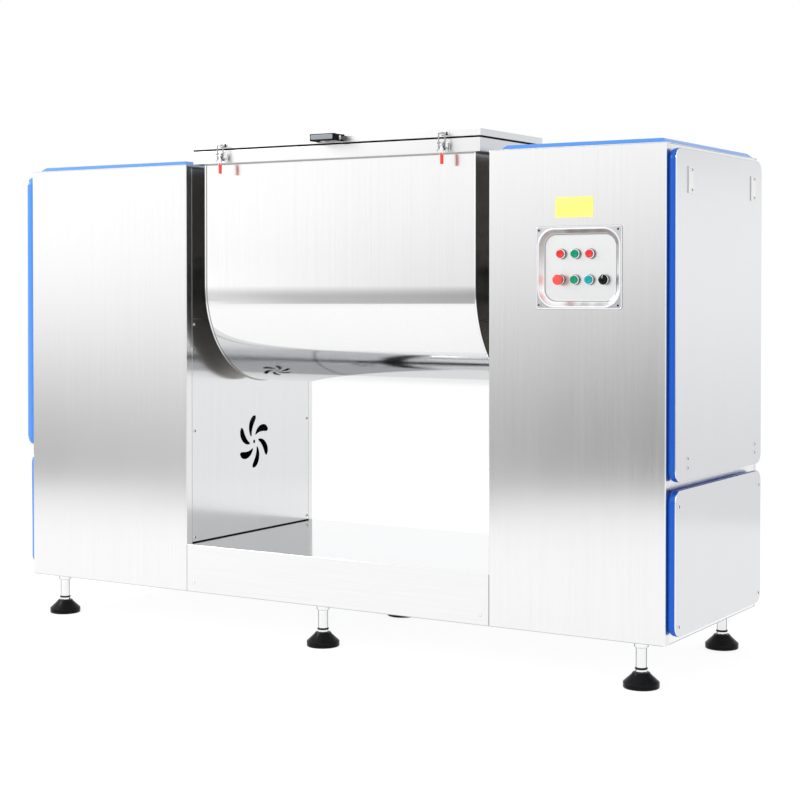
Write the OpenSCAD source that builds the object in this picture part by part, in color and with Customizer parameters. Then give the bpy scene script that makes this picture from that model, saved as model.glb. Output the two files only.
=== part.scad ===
// Ribbon mixer with a tilting U-trough between two pedestals, on six levelling feet.
// The pieces are drawn from the left pedestal's front bottom corner: x to the right, y to the rear,
// z up from the bottom of the body. in_place() then moves them to the part's own origin.

/* [Body] */
// Height of the pedestals
body_h = 1400; // [1340:5:1600]
// Depth of the pedestals
body_d = 727; // [720:1:900]
// Width of the left pedestal, with the agitator drive
left_w = 680; // [640:5:900]
// Clear width between the pedestals
gap_w = 1128; // [900:4:1500]
// Width of the right pedestal, with the controls and the tilt drive
right_w = 555; // [520:5:900]
// Height of the beam between the pedestals
base_h = 154; // [120:2:220]
// Thickness of the panel sheet
sheet_t = 3; // [2:0.5:4]
// Width of the front panels' return along the inner sides
front_return = 28; // [20:1:40]
// Width of the rear panels' return along the inner sides
rear_return = 22; // [15:1:40]
// Gap at the panel seams
seam = 2; // [1:0.5:4]
// Distance of the seam between the inner panels and the vent covers below the trough's axis
seam_drop = 109; // [90:1:180]

/* [Frame] */
// Leg of the frame's angle bars
angle_leg = 40; // [30:2:60]
// Thickness of the frame's angle bars
angle_t = 4; // [3:0.5:6]
// Thickness of the bearing plates
bearing_plate_t = 12; // [8:1:20]
// Height of the bearing plates
bearing_plate_h = 300; // [240:10:400]
// Thickness of the shelves that carry the drives
shelf_t = 10; // [6:1:16]

/* [Side doors] */
// Gap from the front of the body to the doors
door_front = 5; // [2:1:20]
// Width of the doors
door_w = 682; // [600:2:700]
// Height of the lower doors' bottom edge
door_low_z = 31; // [10:1:60]
// Height of the lower doors
door_low_h = 401; // [300:1:500]
// Gap between the lower and upper doors
door_gap = 23; // [10:1:50]
// Gap from the upper doors to the top of the body
door_top = 13; // [5:1:40]
// Depth of the blue backing trays
tray_depth = 27; // [15:1:40]
// Depth of the left lower door's blue backing tray
left_low_depth = 10; // [10:1:40]
// How much lower the left doors' gap is than the right doors'
left_gap_drop = 8; // [0:1:30]
// Thickness of the doors' steel skin
skin_t = 3; // [2:0.5:4]
// Corner radius of the doors
door_r = 33; // [20:1:50]
// Thickness of the tray sheet
tray_t = 3; // [2:0.5:4]
// Height of the blue top trays
cap_h = 12; // [8:1:25]
// Inset of the top trays at the left and the rear
cap_inset = 40; // [10:1:80]
// How far the top trays' sides slope in
cap_slope = 13; // [4:1:30]

/* [Feet] */
// Height of the body above the floor
foot_h = 136; // [110:1:180]
// Radius of the foot pads
pad_r = 54; // [40:1:70]
// Height of the pads' upright rim
pad_rim_h = 17; // [10:1:25]
// Height of the pads' cone
pad_cone_h = 28; // [15:1:40]
// Radius of the pads' top
pad_top_r = 22; // [16:1:30]
// Width of the hex nuts across corners
foot_nut_w = 34; // [28:1:42]
// Height of the hex nuts
foot_nut_h = 10; // [6:1:16]
// Radius of the stems
stem_r = 15.5; // [12:0.5:17]
// Radius of the stems' collars
collar_r = 25; // [18:0.5:32]
// Height of the stems' collars
collar_h = 10; // [6:1:20]
// Feet's distance from the ends of the body
foot_end = 94; // [60:1:150]
// Front feet's distance from the front of the body
foot_side = 57; // [56:1:100]
// Rear corner feet's distance from the rear of the body
foot_rear = 42; // [40:1:100]
// Rear middle foot's distance from the rear of the body
foot_mid_rear = 107; // [60:1:200]
// Shift of the rear middle foot to the left
foot_mid_shift = 50; // [0:1:100]

/* [Trough] */
// Distance of the trough's axis below the top of the body
axis_drop = 397; // [370:1:430]
// Outer radius of the trough's end plates
trough_r = 324; // [280:1:330]
// Clearance between the end plates and the pedestals
trough_gap = 58; // [45:1:90]
// Thickness of the end plates
end_t = 6; // [4:1:10]
// How far the end plates stand out past the shell
end_lip = 3; // [1:0.5:6]
// Thickness of the shell
shell_t = 4; // [2:0.5:6]
// Height of the rim's top above the axis
rim_top = 437; // [380:1:480]
// Height of the rim
rim_h = 42; // [30:1:60]
// How far the rim stands out past the end plates at the front and rear
rim_over_y = 24; // [15:1:40]
// How far the rim stands out past the end plates at the ends
rim_over_x = 28; // [15:1:40]
// Thickness of the rim's channel
rim_t = 3; // [2:0.5:5]
// Height of the lid gasket
gasket_h = 5; // [2:0.5:8]
// Width of the lid gasket
gasket_w = 14; // [8:1:20]
// Depth of the front edge flange of the fixed rear cover
cover_flange = 22; // [10:1:40]

/* [Lid] */
// Depth of the lid from front to rear
lid_d = 403; // [340:1:440]
// Height of the lid's skirt
lid_h = 21; // [15:1:40]
// Thickness of the lid's sheet
lid_t = 2; // [1:0.5:4]
// Width of the flange turned in around the lid's bottom
lid_flange = 20; // [17:1:40]
// How far the lid stands out past the rim at the ends
lid_over = 1.5; // [0:0.5:5]
// Number of lid hinges
hinge_count = 3; // [2:1:5]
// Width of each hinge
hinge_w = 60; // [40:2:90]
// Radius of the hinge knuckles
knuckle_r = 5; // [4:0.5:5.5]
// Radius of the hinge pins
hinge_pin_r = 2.5; // [1.5:0.25:3]
// Largest opening angle of the lid in degrees
lid_open = 100; // [90:1:110]

/* [Handle] */
// Length of the handle
handle_w = 90; // [80:1:160]
// Distance of the handle's front from the lid
handle_reach = 52; // [44:1:70]
// Height of the handle
handle_h = 23; // [16:1:30]
// Thickness of the handle's bridge
handle_t = 10; // [6:1:14]
// Thickness of the aluminium facing
facing_t = 3; // [2:0.5:5]
// Length of the feet that spread out at the lid
handle_foot = 6; // [3:1:24]
// Thickness of the handle's legs and feet
handle_leg = 4; // [3:0.5:8]

/* [Clamps] */
// Distance of the clamps from the middle of the trough
clamp_x = 412; // [300:1:440]
// Shift of the handle to the right
handle_shift = 6; // [0:1:12]
// Shift of both clamps to the right
clamp_shift = 3; // [0:1:12]
// Width of the clamp bases
clamp_w = 30; // [26:1:60]
// Distance of the clamp pins in front of the rim
clamp_y = 19; // [15:0.5:22]
// Height of the lever pin below the rim's top
clamp_drop = 20; // [18:0.5:24]
// Distance between the lever pin and the bail pin
clamp_crank = 12; // [11:0.5:14]
// Radius of the bail wire
bail_r = 2; // [1.5:0.25:2.5]
// Inner width between the bail legs
bail_w = 18; // [18:1:32]
// Height of the bail's top bar above the rim's top
bail_rise = 15; // [12:0.5:18]
// Width of the levers
lever_w = 10.5; // [9:0.5:11]
// Length of the levers below their pin
lever_len = 57; // [45:1:80]
// Length of the red lever grips
grip_len = 34; // [20:1:45]

/* [Shafts and gears] */
// Outer radius of the trunnions
trunnion_r = 55; // [45:1:60]
// Inner radius of the trunnions
trunnion_bore_r = 40; // [36:1:42]
// Radius of the trunnion flanges
flange_r = 110; // [90:1:130]
// Thickness of the trunnion flanges
flange_t = 12; // [8:1:20]
// Radius of the agitator shaft
shaft_r = 30; // [25:1:32]
// Radial clearance of running fits
run_gap = 0.06; // [0.03:0.01:0.08]
// Thickness of the trunnion bearing housings
housing_t = 34; // [20:1:50]
// Width across the trunnion bearing housings
housing_w = 200; // [160:2:240]
// Width of the tilt gear
gear_t = 30; // [20:1:45]
// Tooth size of the tilt gears, pitch diameter per tooth
tooth_size = 6; // [5:0.5:7]
// Number of teeth of the tilt gear
gear_teeth = 60; // [48:1:64]
// Number of teeth of the tilt pinion
pinion_teeth = 15; // [14:1:20]
// Play between the gears' teeth
tooth_play = 0.5; // [0.3:0.1:1]

/* [Agitator] */
// Clearance between the outer ribbons and the shell
ribbon_gap = 8; // [5:1:20]
// Radial width of the outer ribbons
outer_ribbon_w = 46; // [30:1:70]
// Outer radius of the inner ribbons
inner_ribbon_r = 185; // [120:1:220]
// Radial width of the inner ribbons
inner_ribbon_w = 40; // [25:1:60]
// Thickness of the ribbons
ribbon_t = 8; // [5:0.5:12]
// Turns that each ribbon makes over its length
ribbon_turns = 1; // [0.5:0.25:1.5]
// Number of arm stations along the shaft
arm_stations = 5; // [3:1:7]
// Radius of the arms
arm_r = 14; // [10:1:18]

/* [Vent] */
// Distance of the vent's centre from the front of the body
vent_y = 372; // [250:1:480]
// Height of the vent's centre above the bottom of the body
vent_z = 464; // [350:1:600]
// Outer radius of the vent's blades
vent_r = 91; // [60:1:120]
// Inner radius of the vent's blades
vent_in_r = 25; // [18:1:32]
// Greatest width of a vent blade
blade_w = 26; // [16:1:32]
// Radius of the vent's centre hole
vent_hole_r = 6; // [4:0.5:9]
// Number of vent blades
blade_count = 6; // [4:1:7]

/* [Controls] */
// Distance of the control panel's left edge from the right pedestal's inner face
panel_x = 155; // [100:1:180]
// Distance of the control panel's top edge below the top of the body
panel_drop = 228; // [190:1:460]
// Width of the control panel
panel_w = 270; // [250:1:300]
// Height of the control panel
panel_h = 237; // [220:1:260]
// Corner radius of the control panel
panel_r = 9; // [4:1:16]
// Thickness of the control panel
panel_t = 2; // [1.5:0.5:3]
// Depth of the control panel's dish
dish_depth = 15; // [10:0.5:20]
// Width of the dish's sloping wall
dish_wall = 17; // [10:0.5:20]
// Corner radius of the dish's mouth
dish_r = 38; // [30:1:50]
// Distance between the buttons
button_pitch = 45.7; // [42:0.1:50]
// Distance between the two rows of buttons
row_pitch = 74; // [60:0.1:80]
// Radius of the push buttons
button_r = 11.3; // [9:0.1:12]
// Outer radius of the button bezels
bezel_r = 14.5; // [13.5:0.1:17]
// Height of the button bezels
bezel_h = 10; // [9:0.5:12]
// Travel of the push buttons
button_travel = 4; // [2:0.5:5]
// Travel of the stop button
stop_travel = 6; // [3:0.5:7]
// Radius of the stop button's head
stop_r = 15; // [14:0.5:20]
// Radius of the selector knob
knob_r = 15.5; // [12:0.5:18]
// Width of the blank yellow plate
label_w = 119; // [60:1:200]
// Height of the blank yellow plate
label_h = 58; // [30:1:90]
// Distance of the yellow plate above the control panel
label_rise = 25; // [10:1:60]

/* [Hidden] */
$fn = 64;
// Overrun of every cut past the faces that it opens
cut = 1;

// Heights that follow the top of the body
axis_z = body_h - axis_drop;
seam_z = axis_z - seam_drop;
panel_z = body_h - panel_drop - panel_h;
// Places along x: the pedestals' faces and the trough's ends
right_x = left_w + gap_w;
body_w = right_x + right_w;
trough_x0 = left_w + trough_gap;
trough_x1 = right_x - trough_gap;
trough_mid = (trough_x0 + trough_x1) / 2;
rim_x0 = trough_x0 - rim_over_x;
rim_x1 = trough_x1 + rim_over_x;
handle_mid = trough_mid + handle_shift;
clamp_mid = trough_mid + clamp_shift;
// Places along y and z: the trough's axis and its rim
axis_y = trough_r + rim_over_y;
rim_d = axis_y * 2;
rim_z = axis_z + rim_top;
shell_r = trough_r - end_lip;
// Doors
door_x = tray_depth + skin_t;
door_up_z = door_low_z + door_low_h + door_gap;
door_up_h = body_h - door_top - door_up_z;
// Hanger plates near the upper doors' top, and the screws on the doors
plate_w = 37;
plate_h = 75;
plate_t = 3;
plate_y = [87.5, 589];
plate_top = 50.5;
plate_screw_y = 22.5;
// Step in the backing trays' edge near the body
tray_step = 7;
tray_back = 7;
screw_head_r = 4.5;
screw_head_h = 2.5;
screw_r = 2.5;
screw_hole_r = 2.8;
plate_screw_edge = 9;
door_screw_edge = 22;
door_pair_rise = 36;
door_pair_gap = 26;
door_pair_y = [83, 623];
// Cable gland at the rear of the right pedestal
gland_reach = 46;
gland_r = 19;
gland_nut_w = 50;
gland_nut_h = 14;
gland_side = 110;
gland_z = 200;
gland_thread_r = 15;
// Origin: the middle of the whole box, on the floor
mid_x = body_w / 2;
mid_y = (body_d + gland_reach - handle_reach) / 2;
// Trunnions, bearings and gears
bearing_x_left = left_w - sheet_t - bearing_plate_t;
bearing_x_right = right_x + sheet_t + bearing_plate_t;
housing_x_left = bearing_x_left - housing_t;
trunnion_end = 8;
gear_x = bearing_x_right + housing_t + trunnion_end;
trunnion_x0 = housing_x_left - trunnion_end;
trunnion_x1 = gear_x + gear_t + trunnion_end;
trunnion_hole_gap = 10;
housing_plate_t = 14;
housing_boss_r = 84;
seal_t = 26;
bearing_t = 22;
shaft_over = 14;
gear_hub_r = 78;
pinion_z = axis_z - (gear_teeth + pinion_teeth) * tooth_size / 2;
pinion_over = 2;
pinion_shaft_r = 15;
// Agitator drive in the left pedestal
coupling_t = 110;
coupling_r = 75;
coupling_hub_r = 50;
coupling_flange_t = 44;
coupling_gap = 30;
coupling_x0 = trunnion_x0 - coupling_gap - coupling_t;
coupling_mid = coupling_x0 + coupling_t / 2;
reducer_gap = 15;
reducer_w = 240;
reducer_d = 260;
reducer_up = 130;
reducer_down = 190;
reducer_shaft_r = 25;
reducer_x1 = coupling_x0 - reducer_gap;
reducer_x0 = reducer_x1 - reducer_w;
reducer_base_t = 15;
reducer_base_over = 35;
reducer_boss_r = 60;
reducer_boss_t = 10;
left_shelf_z = axis_z - reducer_down - reducer_base_t - shelf_t;
motor_r = 110;
motor_len = 380;
motor_hole_gap = 6;
motor_neck = 20;
cowl_len = 90;
cowl_over = 6;
motor_foot_gap = 12;
// Tilt drive in the right pedestal
tilt_w = 130;
tilt_d = 150;
tilt_up = 90;
tilt_down = 80;
tilt_gap = 28;
tilt_x = gear_x + gear_t + tilt_gap;
right_shelf_z = pinion_z - tilt_down - shelf_t;
tilt_motor_r = 65;
tilt_motor_len = 230;
tilt_motor_neck = 8;
terminal_w = 90;
terminal_h = 60;
terminal_d = 40;
// Feet
foot_at = [[foot_end, foot_side], [mid_x, foot_side], [body_w - foot_end, foot_side],
    [foot_end, body_d - foot_rear], [mid_x - foot_mid_shift, body_d - foot_mid_rear],
    [body_w - foot_end, body_d - foot_rear]];
spigot_r = 8;
spigot_up = 30;
spigot_hole_r = 9;
foot_plate_w = 74;
foot_plate_t = 12;
pad_flare = 2;
pad_step = 3;
// Screws of the vent covers and the base cover
vent_screw_edge = 14;
vent_screw_rise = 18;
base_screw_x = 28;
base_screw_z = 30;
// Lid hinges
hinge_back = 6;
hinge_up = 10;
hinge_y = lid_d + hinge_back;
hinge_z = rim_z + hinge_up;
leaf_t = 2;
leaf_d = 26;
leaf_gap = 0.4;
hinge_end = 130;
// Clamps
ear_t = 2.5;
ear_nose_r = 7;
ear_gap = 1;
clamp_plate_t = 2;
clamp_plate_up = 10;
clamp_plate_down = 21;
lever_pin_r = 2.5;
lever_t = 7;
lever_boss_r = 5.5;
bail_pin_r = 1.6;
grip_t = 9;
grip_over = 1;
bail_z0 = rim_z - clamp_drop - clamp_crank;
bail_z1 = rim_z + bail_rise;
keeper_w = 28;
keeper_nose_w = 14;
keeper_t = 2;
keeper_nose_gap = 0.5;
keeper_nose_h = 3;
keeper_lip = 4;
keeper_up = 3;
// Handle
handle_slot = 16;
handle_slot_edge = 4;
handle_up = 22;
facing_edge = 3;
// Control panel
panel_x0 = right_x + panel_x;
dish_edge = 8;
floor_x0 = panel_x0 + dish_edge + dish_wall;
floor_z0 = panel_z + dish_edge + dish_wall;
floor_w = panel_w - (dish_edge + dish_wall) * 2;
floor_h = panel_h - (dish_edge + dish_wall) * 2;
floor_y = dish_depth - panel_t;
window_gap = 1;
row_rise = 84.2;
column_in = 75.2;
window_edge_x = dish_edge - panel_t - window_gap;
panel_screw_edge = 11;
slice = 0.2;
row_low_z = panel_z + row_rise;
row_high_z = row_low_z + row_pitch;
column_x = panel_x0 + column_in;
barrel_r = 10.5;
barrel_len = 26;
bezel_web = 1.2;
button_play = 0.3;
plunger_r = 4;
button_proud = 4.5;
stop_neck_r = 9;
stop_head_h = 10;
stop_proud = 10;
stop_row_shift = 2.2;
knob_h = 10;
knob_gap = 0.3;
knob_grip_r = 11.5;
knob_skirt_h = 3;
knob_extra = 1;
box_w = 262;
box_h = 229;
box_d = 110;
box_t = 2;
label_t = 0.8;
label_x = panel_x0 + 62;

function vent_screw_zs() = [base_h + vent_screw_rise, (base_h + seam_z) / 2, seam_z - vent_screw_rise];
function vent_screw_ys() = [front_return + vent_screw_edge, body_d - rear_return - vent_screw_edge];

module in_place() translate([-mid_x, -mid_y, foot_h]) children();
// Extrudes an outline drawn in (y, z) along x, and one drawn in (x, z) along y
module along_x(x, len) translate([x, 0, 0]) rotate([90, 0, 90]) linear_extrude(len) children();
module along_y(y, len) translate([0, y + len, 0]) rotate([90, 0, 0]) linear_extrude(len) children();
module rod_x(x, y, z, r, len) translate([x, y, z]) rotate([0, 90, 0]) cylinder(r = r, h = len);
module rod_y(x, y, z, r, len) translate([x, y, z]) rotate([-90, 0, 0]) cylinder(r = r, h = len);

module rounded(w, h, r) {
    translate([r, 0]) square([w - 2 * r, h]);
    translate([0, r]) square([w, h - 2 * r]);
    for (x = [r, w - r], y = [r, h - r]) translate([x, y]) circle(r);
}

// Angle section with its corner at the origin, its legs towards sx and sy
module angle(sx, sy) scale([sx, sy]) {
    square([angle_leg, angle_t]);
    square([angle_t, angle_leg]);
}

module pedestal_frame(x0, x1) {
    y0 = sheet_t;
    y1 = body_d - sheet_t;
    z0 = sheet_t;
    z1 = body_h - sheet_t;
    for (sx = [1, -1], sy = [1, -1])
        translate([sx > 0 ? x0 : x1, sy > 0 ? y0 : y1, z0]) linear_extrude(z1 - z0) angle(sx, sy);
    for (sy = [1, -1], sz = [1, -1])
        along_x(x0, x1 - x0) translate([sy > 0 ? y0 : y1, sz > 0 ? z0 : z1]) angle(sy, sz);
    for (sx = [1, -1], sz = [1, -1])
        along_y(y0, y1 - y0) translate([sx > 0 ? x0 : x1, sz > 0 ? z0 : z1]) angle(sx, sz);
}

module bearing_plate(x) difference() {
    translate([x, sheet_t + angle_leg, axis_z - bearing_plate_h / 2])
        cube([bearing_plate_t, body_d - 2 * (sheet_t + angle_leg), bearing_plate_h]);
    rod_x(x - cut, axis_y, axis_z, trunnion_r + trunnion_hole_gap, bearing_plate_t + 2 * cut);
}

module shelf(x0, x1, z) translate([x0, sheet_t, z]) cube([x1 - x0, body_d - 2 * sheet_t, shelf_t]);

module foot_plates() for (p = foot_at)
    translate([p[0] - foot_plate_w / 2, p[1] - foot_plate_w / 2, sheet_t])
        cube([foot_plate_w, foot_plate_w, foot_plate_t]);

module machine_frame() color("gray") in_place() difference() {
    union() {
        pedestal_frame(sheet_t, left_w - sheet_t);
        pedestal_frame(right_x + sheet_t, body_w - sheet_t);
        for (sy = [1, -1], sz = [1, -1])
            along_x(left_w - sheet_t - angle_t, gap_w + 2 * (sheet_t + angle_t))
                translate([sy > 0 ? sheet_t : body_d - sheet_t, sz > 0 ? sheet_t : base_h - sheet_t])
                    angle(sy, sz);
        bearing_plate(bearing_x_left);
        bearing_plate(right_x + sheet_t);
        shelf(sheet_t, left_w - sheet_t, left_shelf_z);
        shelf(right_x + sheet_t, body_w - sheet_t, right_shelf_z);
        foot_plates();
    }
    for (p = foot_at)
        translate([p[0], p[1], sheet_t - cut]) cylinder(r = spigot_hole_r, h = foot_plate_t + 2 * cut);
    translate([(reducer_x0 + reducer_x1) / 2, axis_y, left_shelf_z - cut])
        cylinder(r = motor_r + motor_hole_gap, h = shelf_t + 2 * cut);
}

// Notch in the returns of the front and rear sheets, for the beam's angle bars
module beam_notches() for (x = [left_w - sheet_t, right_x]) translate([x - cut, sheet_t, -cut])
    cube([sheet_t + 2 * cut, body_d - 2 * sheet_t, base_h - sheet_t + cut]);

// Front sheet with a return along the inner side and one behind the doors
module front_sheet(x0, x1) difference() {
    linear_extrude(body_h - sheet_t) difference() {
        translate([x0, 0]) square([x1 - x0, front_return]);
        translate([x0 + sheet_t, sheet_t]) square([x1 - x0 - 2 * sheet_t, front_return]);
    }
    beam_notches();
}

module front_panels() color("gainsboro") in_place() {
    front_sheet(0, left_w);
    difference() {
        front_sheet(right_x, body_w);
        along_y(-cut, sheet_t + 2 * cut) translate([panel_x0 + window_edge_x, panel_z + window_edge_x])
            rounded(panel_w - 2 * window_edge_x, panel_h - 2 * window_edge_x, dish_r);
        control_screws(screw_hole_r, cut);
    }
}

module inner_sheet(x) difference() {
    along_x(x, sheet_t) translate([front_return + seam, seam_z + seam / 2])
        square([body_d - front_return - rear_return - 2 * seam, body_h - sheet_t - seam_z - seam / 2]);
    rod_x(x - cut, axis_y, axis_z, trunnion_r + trunnion_hole_gap, sheet_t + 2 * cut);
}

module inner_panels() color("silver") in_place() {
    inner_sheet(left_w - sheet_t);
    inner_sheet(right_x);
}

// Half the width of a vent blade at the share t of its length: narrow inside, round outside
widest_share = 0.72;
narrow_share = 0.18;
function blade_half(t) = blade_w / 2 * (t < widest_share
    ? narrow_share + (1 - narrow_share) * sin(90 * t / widest_share)
    : sqrt(max(0, 1 - pow((t - widest_share) / (1 - widest_share), 2))));
blade_steps = 14;
blade_sweep = 46;
blade_start = 11;
function blade_at(t, side) = let (
    r = vent_in_r + (vent_r - vent_in_r) * t,
    a = -blade_sweep * t,
    h = side * blade_half(t))
    [r * cos(a) - h * sin(a - blade_sweep / 2), r * sin(a) + h * cos(a - blade_sweep / 2)];
module blade() polygon(concat(
    [for (i = [0:blade_steps]) blade_at(i / blade_steps, 1)],
    [for (i = [blade_steps - 1:-1:0]) blade_at(i / blade_steps, -1)]));

module vent_cover(x) difference() {
    along_x(x, sheet_t) difference() {
        translate([front_return + seam, base_h])
            square([body_d - front_return - rear_return - 2 * seam, seam_z - seam / 2 - base_h]);
        translate([vent_y, vent_z]) {
            circle(vent_hole_r);
            for (i = [0:blade_count - 1]) rotate(blade_start + i * 360 / blade_count) blade();
        }
    }
    for (y = vent_screw_ys(), z = vent_screw_zs()) rod_x(x - cut, y, z, screw_hole_r, sheet_t + 2 * cut);
}

module vent_covers() color("silver") in_place() {
    vent_cover(left_w - sheet_t);
    vent_cover(right_x);
}

module rear_sheet(x0, x1) difference() {
    linear_extrude(body_h - sheet_t) difference() {
        translate([x0, body_d - rear_return]) square([x1 - x0, rear_return]);
        translate([x0 + sheet_t, body_d - rear_return - sheet_t])
            square([x1 - x0 - 2 * sheet_t, rear_return]);
    }
    beam_notches();
}

module rear_panels() color("silver") in_place() {
    rear_sheet(0, left_w);
    difference() {
        rear_sheet(right_x, body_w);
        rod_y(body_w - gland_side, body_d - sheet_t - cut, gland_z, gland_thread_r, sheet_t + 2 * cut);
    }
}

// Outer side sheet behind the doors
module outer_sheet(x) along_x(x, sheet_t)
    translate([front_return, 0]) square([body_d - front_return - rear_return, body_h - sheet_t]);

module outer_panels() color("silver") in_place() {
    outer_sheet(0);
    outer_sheet(body_w - sheet_t);
}

module top_panels() color("gainsboro") in_place() for (s = [[0, left_w], [right_x, right_w]])
    translate([s[0], 0, body_h - sheet_t]) cube([s[1], body_d, sheet_t]);

// Slab whose four sides slope in
module cap_solid(w, d) intersection() {
    along_y(0, d) polygon([[0, 0], [w, 0], [w - cap_slope, cap_h], [cap_slope, cap_h]]);
    along_x(0, w) polygon([[0, 0], [d, 0], [d - cap_slope, cap_h], [cap_slope, cap_h]]);
}

module top_cap(x, w) translate([x + cap_inset, 0, body_h]) difference() {
    cap_solid(w - cap_inset, body_d - cap_inset);
    translate([0, 0, -tray_t]) cap_solid(w - cap_inset, body_d - cap_inset);
}

module top_caps() color("royalblue") in_place() {
    top_cap(0, left_w);
    top_cap(right_x, right_w);
}

// Floor sheets inside the front, rear and side sheets, and under the beam
module floor_pans() color("silver") in_place() difference() {
    for (s = [[sheet_t, left_w - sheet_t], [left_w, right_x], [right_x + sheet_t, body_w - sheet_t]])
        translate([s[0], sheet_t, 0]) cube([s[1] - s[0], body_d - 2 * sheet_t, sheet_t]);
    for (p = foot_at) translate([p[0], p[1], -cut]) cylinder(r = spigot_hole_r, h = sheet_t + 2 * cut);
}

function base_screw_xs() = [left_w + base_screw_x, right_x - base_screw_x];

module base_cover() color("gainsboro") in_place() difference() {
    along_x(left_w, gap_w) difference() {
        square([body_d, base_h]);
        translate([sheet_t, -cut]) square([body_d - 2 * sheet_t, base_h - sheet_t + cut]);
    }
    for (x = base_screw_xs()) rod_y(x, -cut, base_screw_z, screw_hole_r, sheet_t + 2 * cut);
}

module door_outline(z, h, inset) translate([door_front + inset, z + inset])
    rounded(door_w - 2 * inset, h - 2 * inset, door_r - inset);

// Pan whose edge steps in towards the body
module tray(z, h, depth) difference() {
    union() {
        along_x(0, depth) door_outline(z, h, tray_step);
        along_x(tray_back, depth - tray_back) door_outline(z, h, 0);
    }
    along_x(-cut, depth - tray_t + cut) door_outline(z, h, tray_step + tray_t);
}

// Children are drawn outward from the side face, once for each side: the left side is mirrored, its
// doors meet lower down, and its lower door is less deep
module both_sides() {
    translate([body_w, 0, 0]) {
        $drop = 0;
        $low_depth = tray_depth;
        children();
    }
    mirror([1, 0, 0]) {
        $drop = left_gap_drop;
        $low_depth = left_low_depth;
        children();
    }
}

module door_trays() color("royalblue") in_place() both_sides() {
    tray(door_low_z, door_low_h - $drop, $low_depth);
    tray(door_up_z - $drop, door_up_h + $drop, tray_depth);
}

function plate_z() = door_up_z + door_up_h - plate_top - plate_h;
function hanger_screws() = [for (y = plate_y, z = [plate_screw_edge, plate_h - plate_screw_edge])
    [y + plate_screw_y, plate_z() + z]];
function upper_screws(drop) = [for (y = door_pair_y, z = [door_pair_rise, door_pair_rise + door_pair_gap])
    [door_front + y, door_up_z - drop + z]];
function lower_screws() = [for (y = [door_front + door_screw_edge, door_front + door_w - door_screw_edge],
    z = [door_screw_edge, door_low_h - 2 * door_screw_edge]) [y, door_low_z + z]];

module skin(z, h, depth, screws) difference() {
    along_x(depth, skin_t) door_outline(z, h, 0);
    for (p = screws) rod_x(depth - cut, p[0], p[1], screw_hole_r, skin_t + 2 * cut);
}

module door_skins() color("gainsboro") in_place() both_sides() {
    skin(door_low_z, door_low_h - $drop, $low_depth, lower_screws());
    skin(door_up_z - $drop, door_up_h + $drop, tray_depth, concat(hanger_screws(), upper_screws($drop)));
}

module hanger_plates() color("gainsboro") in_place() both_sides() difference() {
    for (y = plate_y) translate([door_x, y, plate_z()]) cube([plate_t, plate_w, plate_h]);
    for (p = hanger_screws()) rod_x(door_x - cut, p[0], p[1], screw_hole_r, plate_t + 2 * cut);
}

// Screw with its head outward along +x, at the face x, with a shank of the given length
module screw_x(x, p, len) {
    rod_x(x, p[0], p[1], screw_head_r, screw_head_h);
    rod_x(x - len, p[0], p[1], screw_r, len);
}

function control_screw_at() = [for (x = [panel_screw_edge, panel_w - panel_screw_edge],
    z = [panel_screw_edge, panel_h - panel_screw_edge]) [panel_x0 + x, panel_z + z]];
module control_screws(r, over) for (p = control_screw_at())
    rod_y(p[0], -panel_t - over, p[1], r, panel_t + sheet_t + 2 * over);

module panel_screws() color("silver") in_place() {
    both_sides() {
        for (p = hanger_screws()) screw_x(door_x + plate_t, p, plate_t + skin_t);
        for (p = upper_screws($drop)) screw_x(door_x, p, skin_t);
        for (p = lower_screws()) screw_x($low_depth + skin_t, p, skin_t);
    }
    for (y = vent_screw_ys(), z = vent_screw_zs()) {
        screw_x(left_w, [y, z], sheet_t);
        translate([right_x, 0, 0]) mirror([1, 0, 0]) screw_x(0, [y, z], sheet_t);
    }
    for (x = base_screw_xs()) {
        rod_y(x, -screw_head_h, base_screw_z, screw_head_r, screw_head_h);
        rod_y(x, 0, base_screw_z, screw_r, sheet_t);
    }
    control_screws(screw_r, 0);
    for (p = control_screw_at()) rod_y(p[0], -panel_t - screw_head_h, p[1], screw_head_r, screw_head_h);
}

module at_feet() for (p = foot_at) translate([p[0], p[1], -foot_h]) children();

module foot_pads() color("black") in_place() at_feet() rotate_extrude() polygon([[0, 0],
    [pad_r - pad_flare, 0], [pad_r, pad_step], [pad_r, pad_rim_h - pad_step],
    [pad_r - pad_flare, pad_rim_h], [pad_top_r, pad_rim_h + pad_cone_h], [0, pad_rim_h + pad_cone_h]]);

module foot_nuts() color("silver") in_place() at_feet() translate([0, 0, pad_rim_h + pad_cone_h])
    cylinder(d = foot_nut_w, h = foot_nut_h, $fn = 6);

module foot_stems() color("silver") in_place() at_feet() {
    z0 = pad_rim_h + pad_cone_h + foot_nut_h;
    translate([0, 0, z0]) cylinder(r = stem_r, h = foot_h - z0);
    translate([0, 0, foot_h - collar_h]) cylinder(r = collar_r, h = collar_h);
    translate([0, 0, foot_h]) cylinder(r = spigot_r, h = spigot_up);
}

module bearing_housing(x) difference() {
    union() {
        translate([x, axis_y - housing_w / 2, axis_z - housing_w / 2])
            cube([housing_plate_t, housing_w, housing_w]);
        rod_x(x, axis_y, axis_z, housing_boss_r, housing_t);
    }
    rod_x(x - cut, axis_y, axis_z, trunnion_r + run_gap, housing_t + 2 * cut);
}

module trunnion_bearings() color("dimgray") in_place() {
    bearing_housing(bearing_x_right);
    translate([left_w + right_x, 0, 0]) mirror([1, 0, 0]) bearing_housing(bearing_x_right);
}

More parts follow.
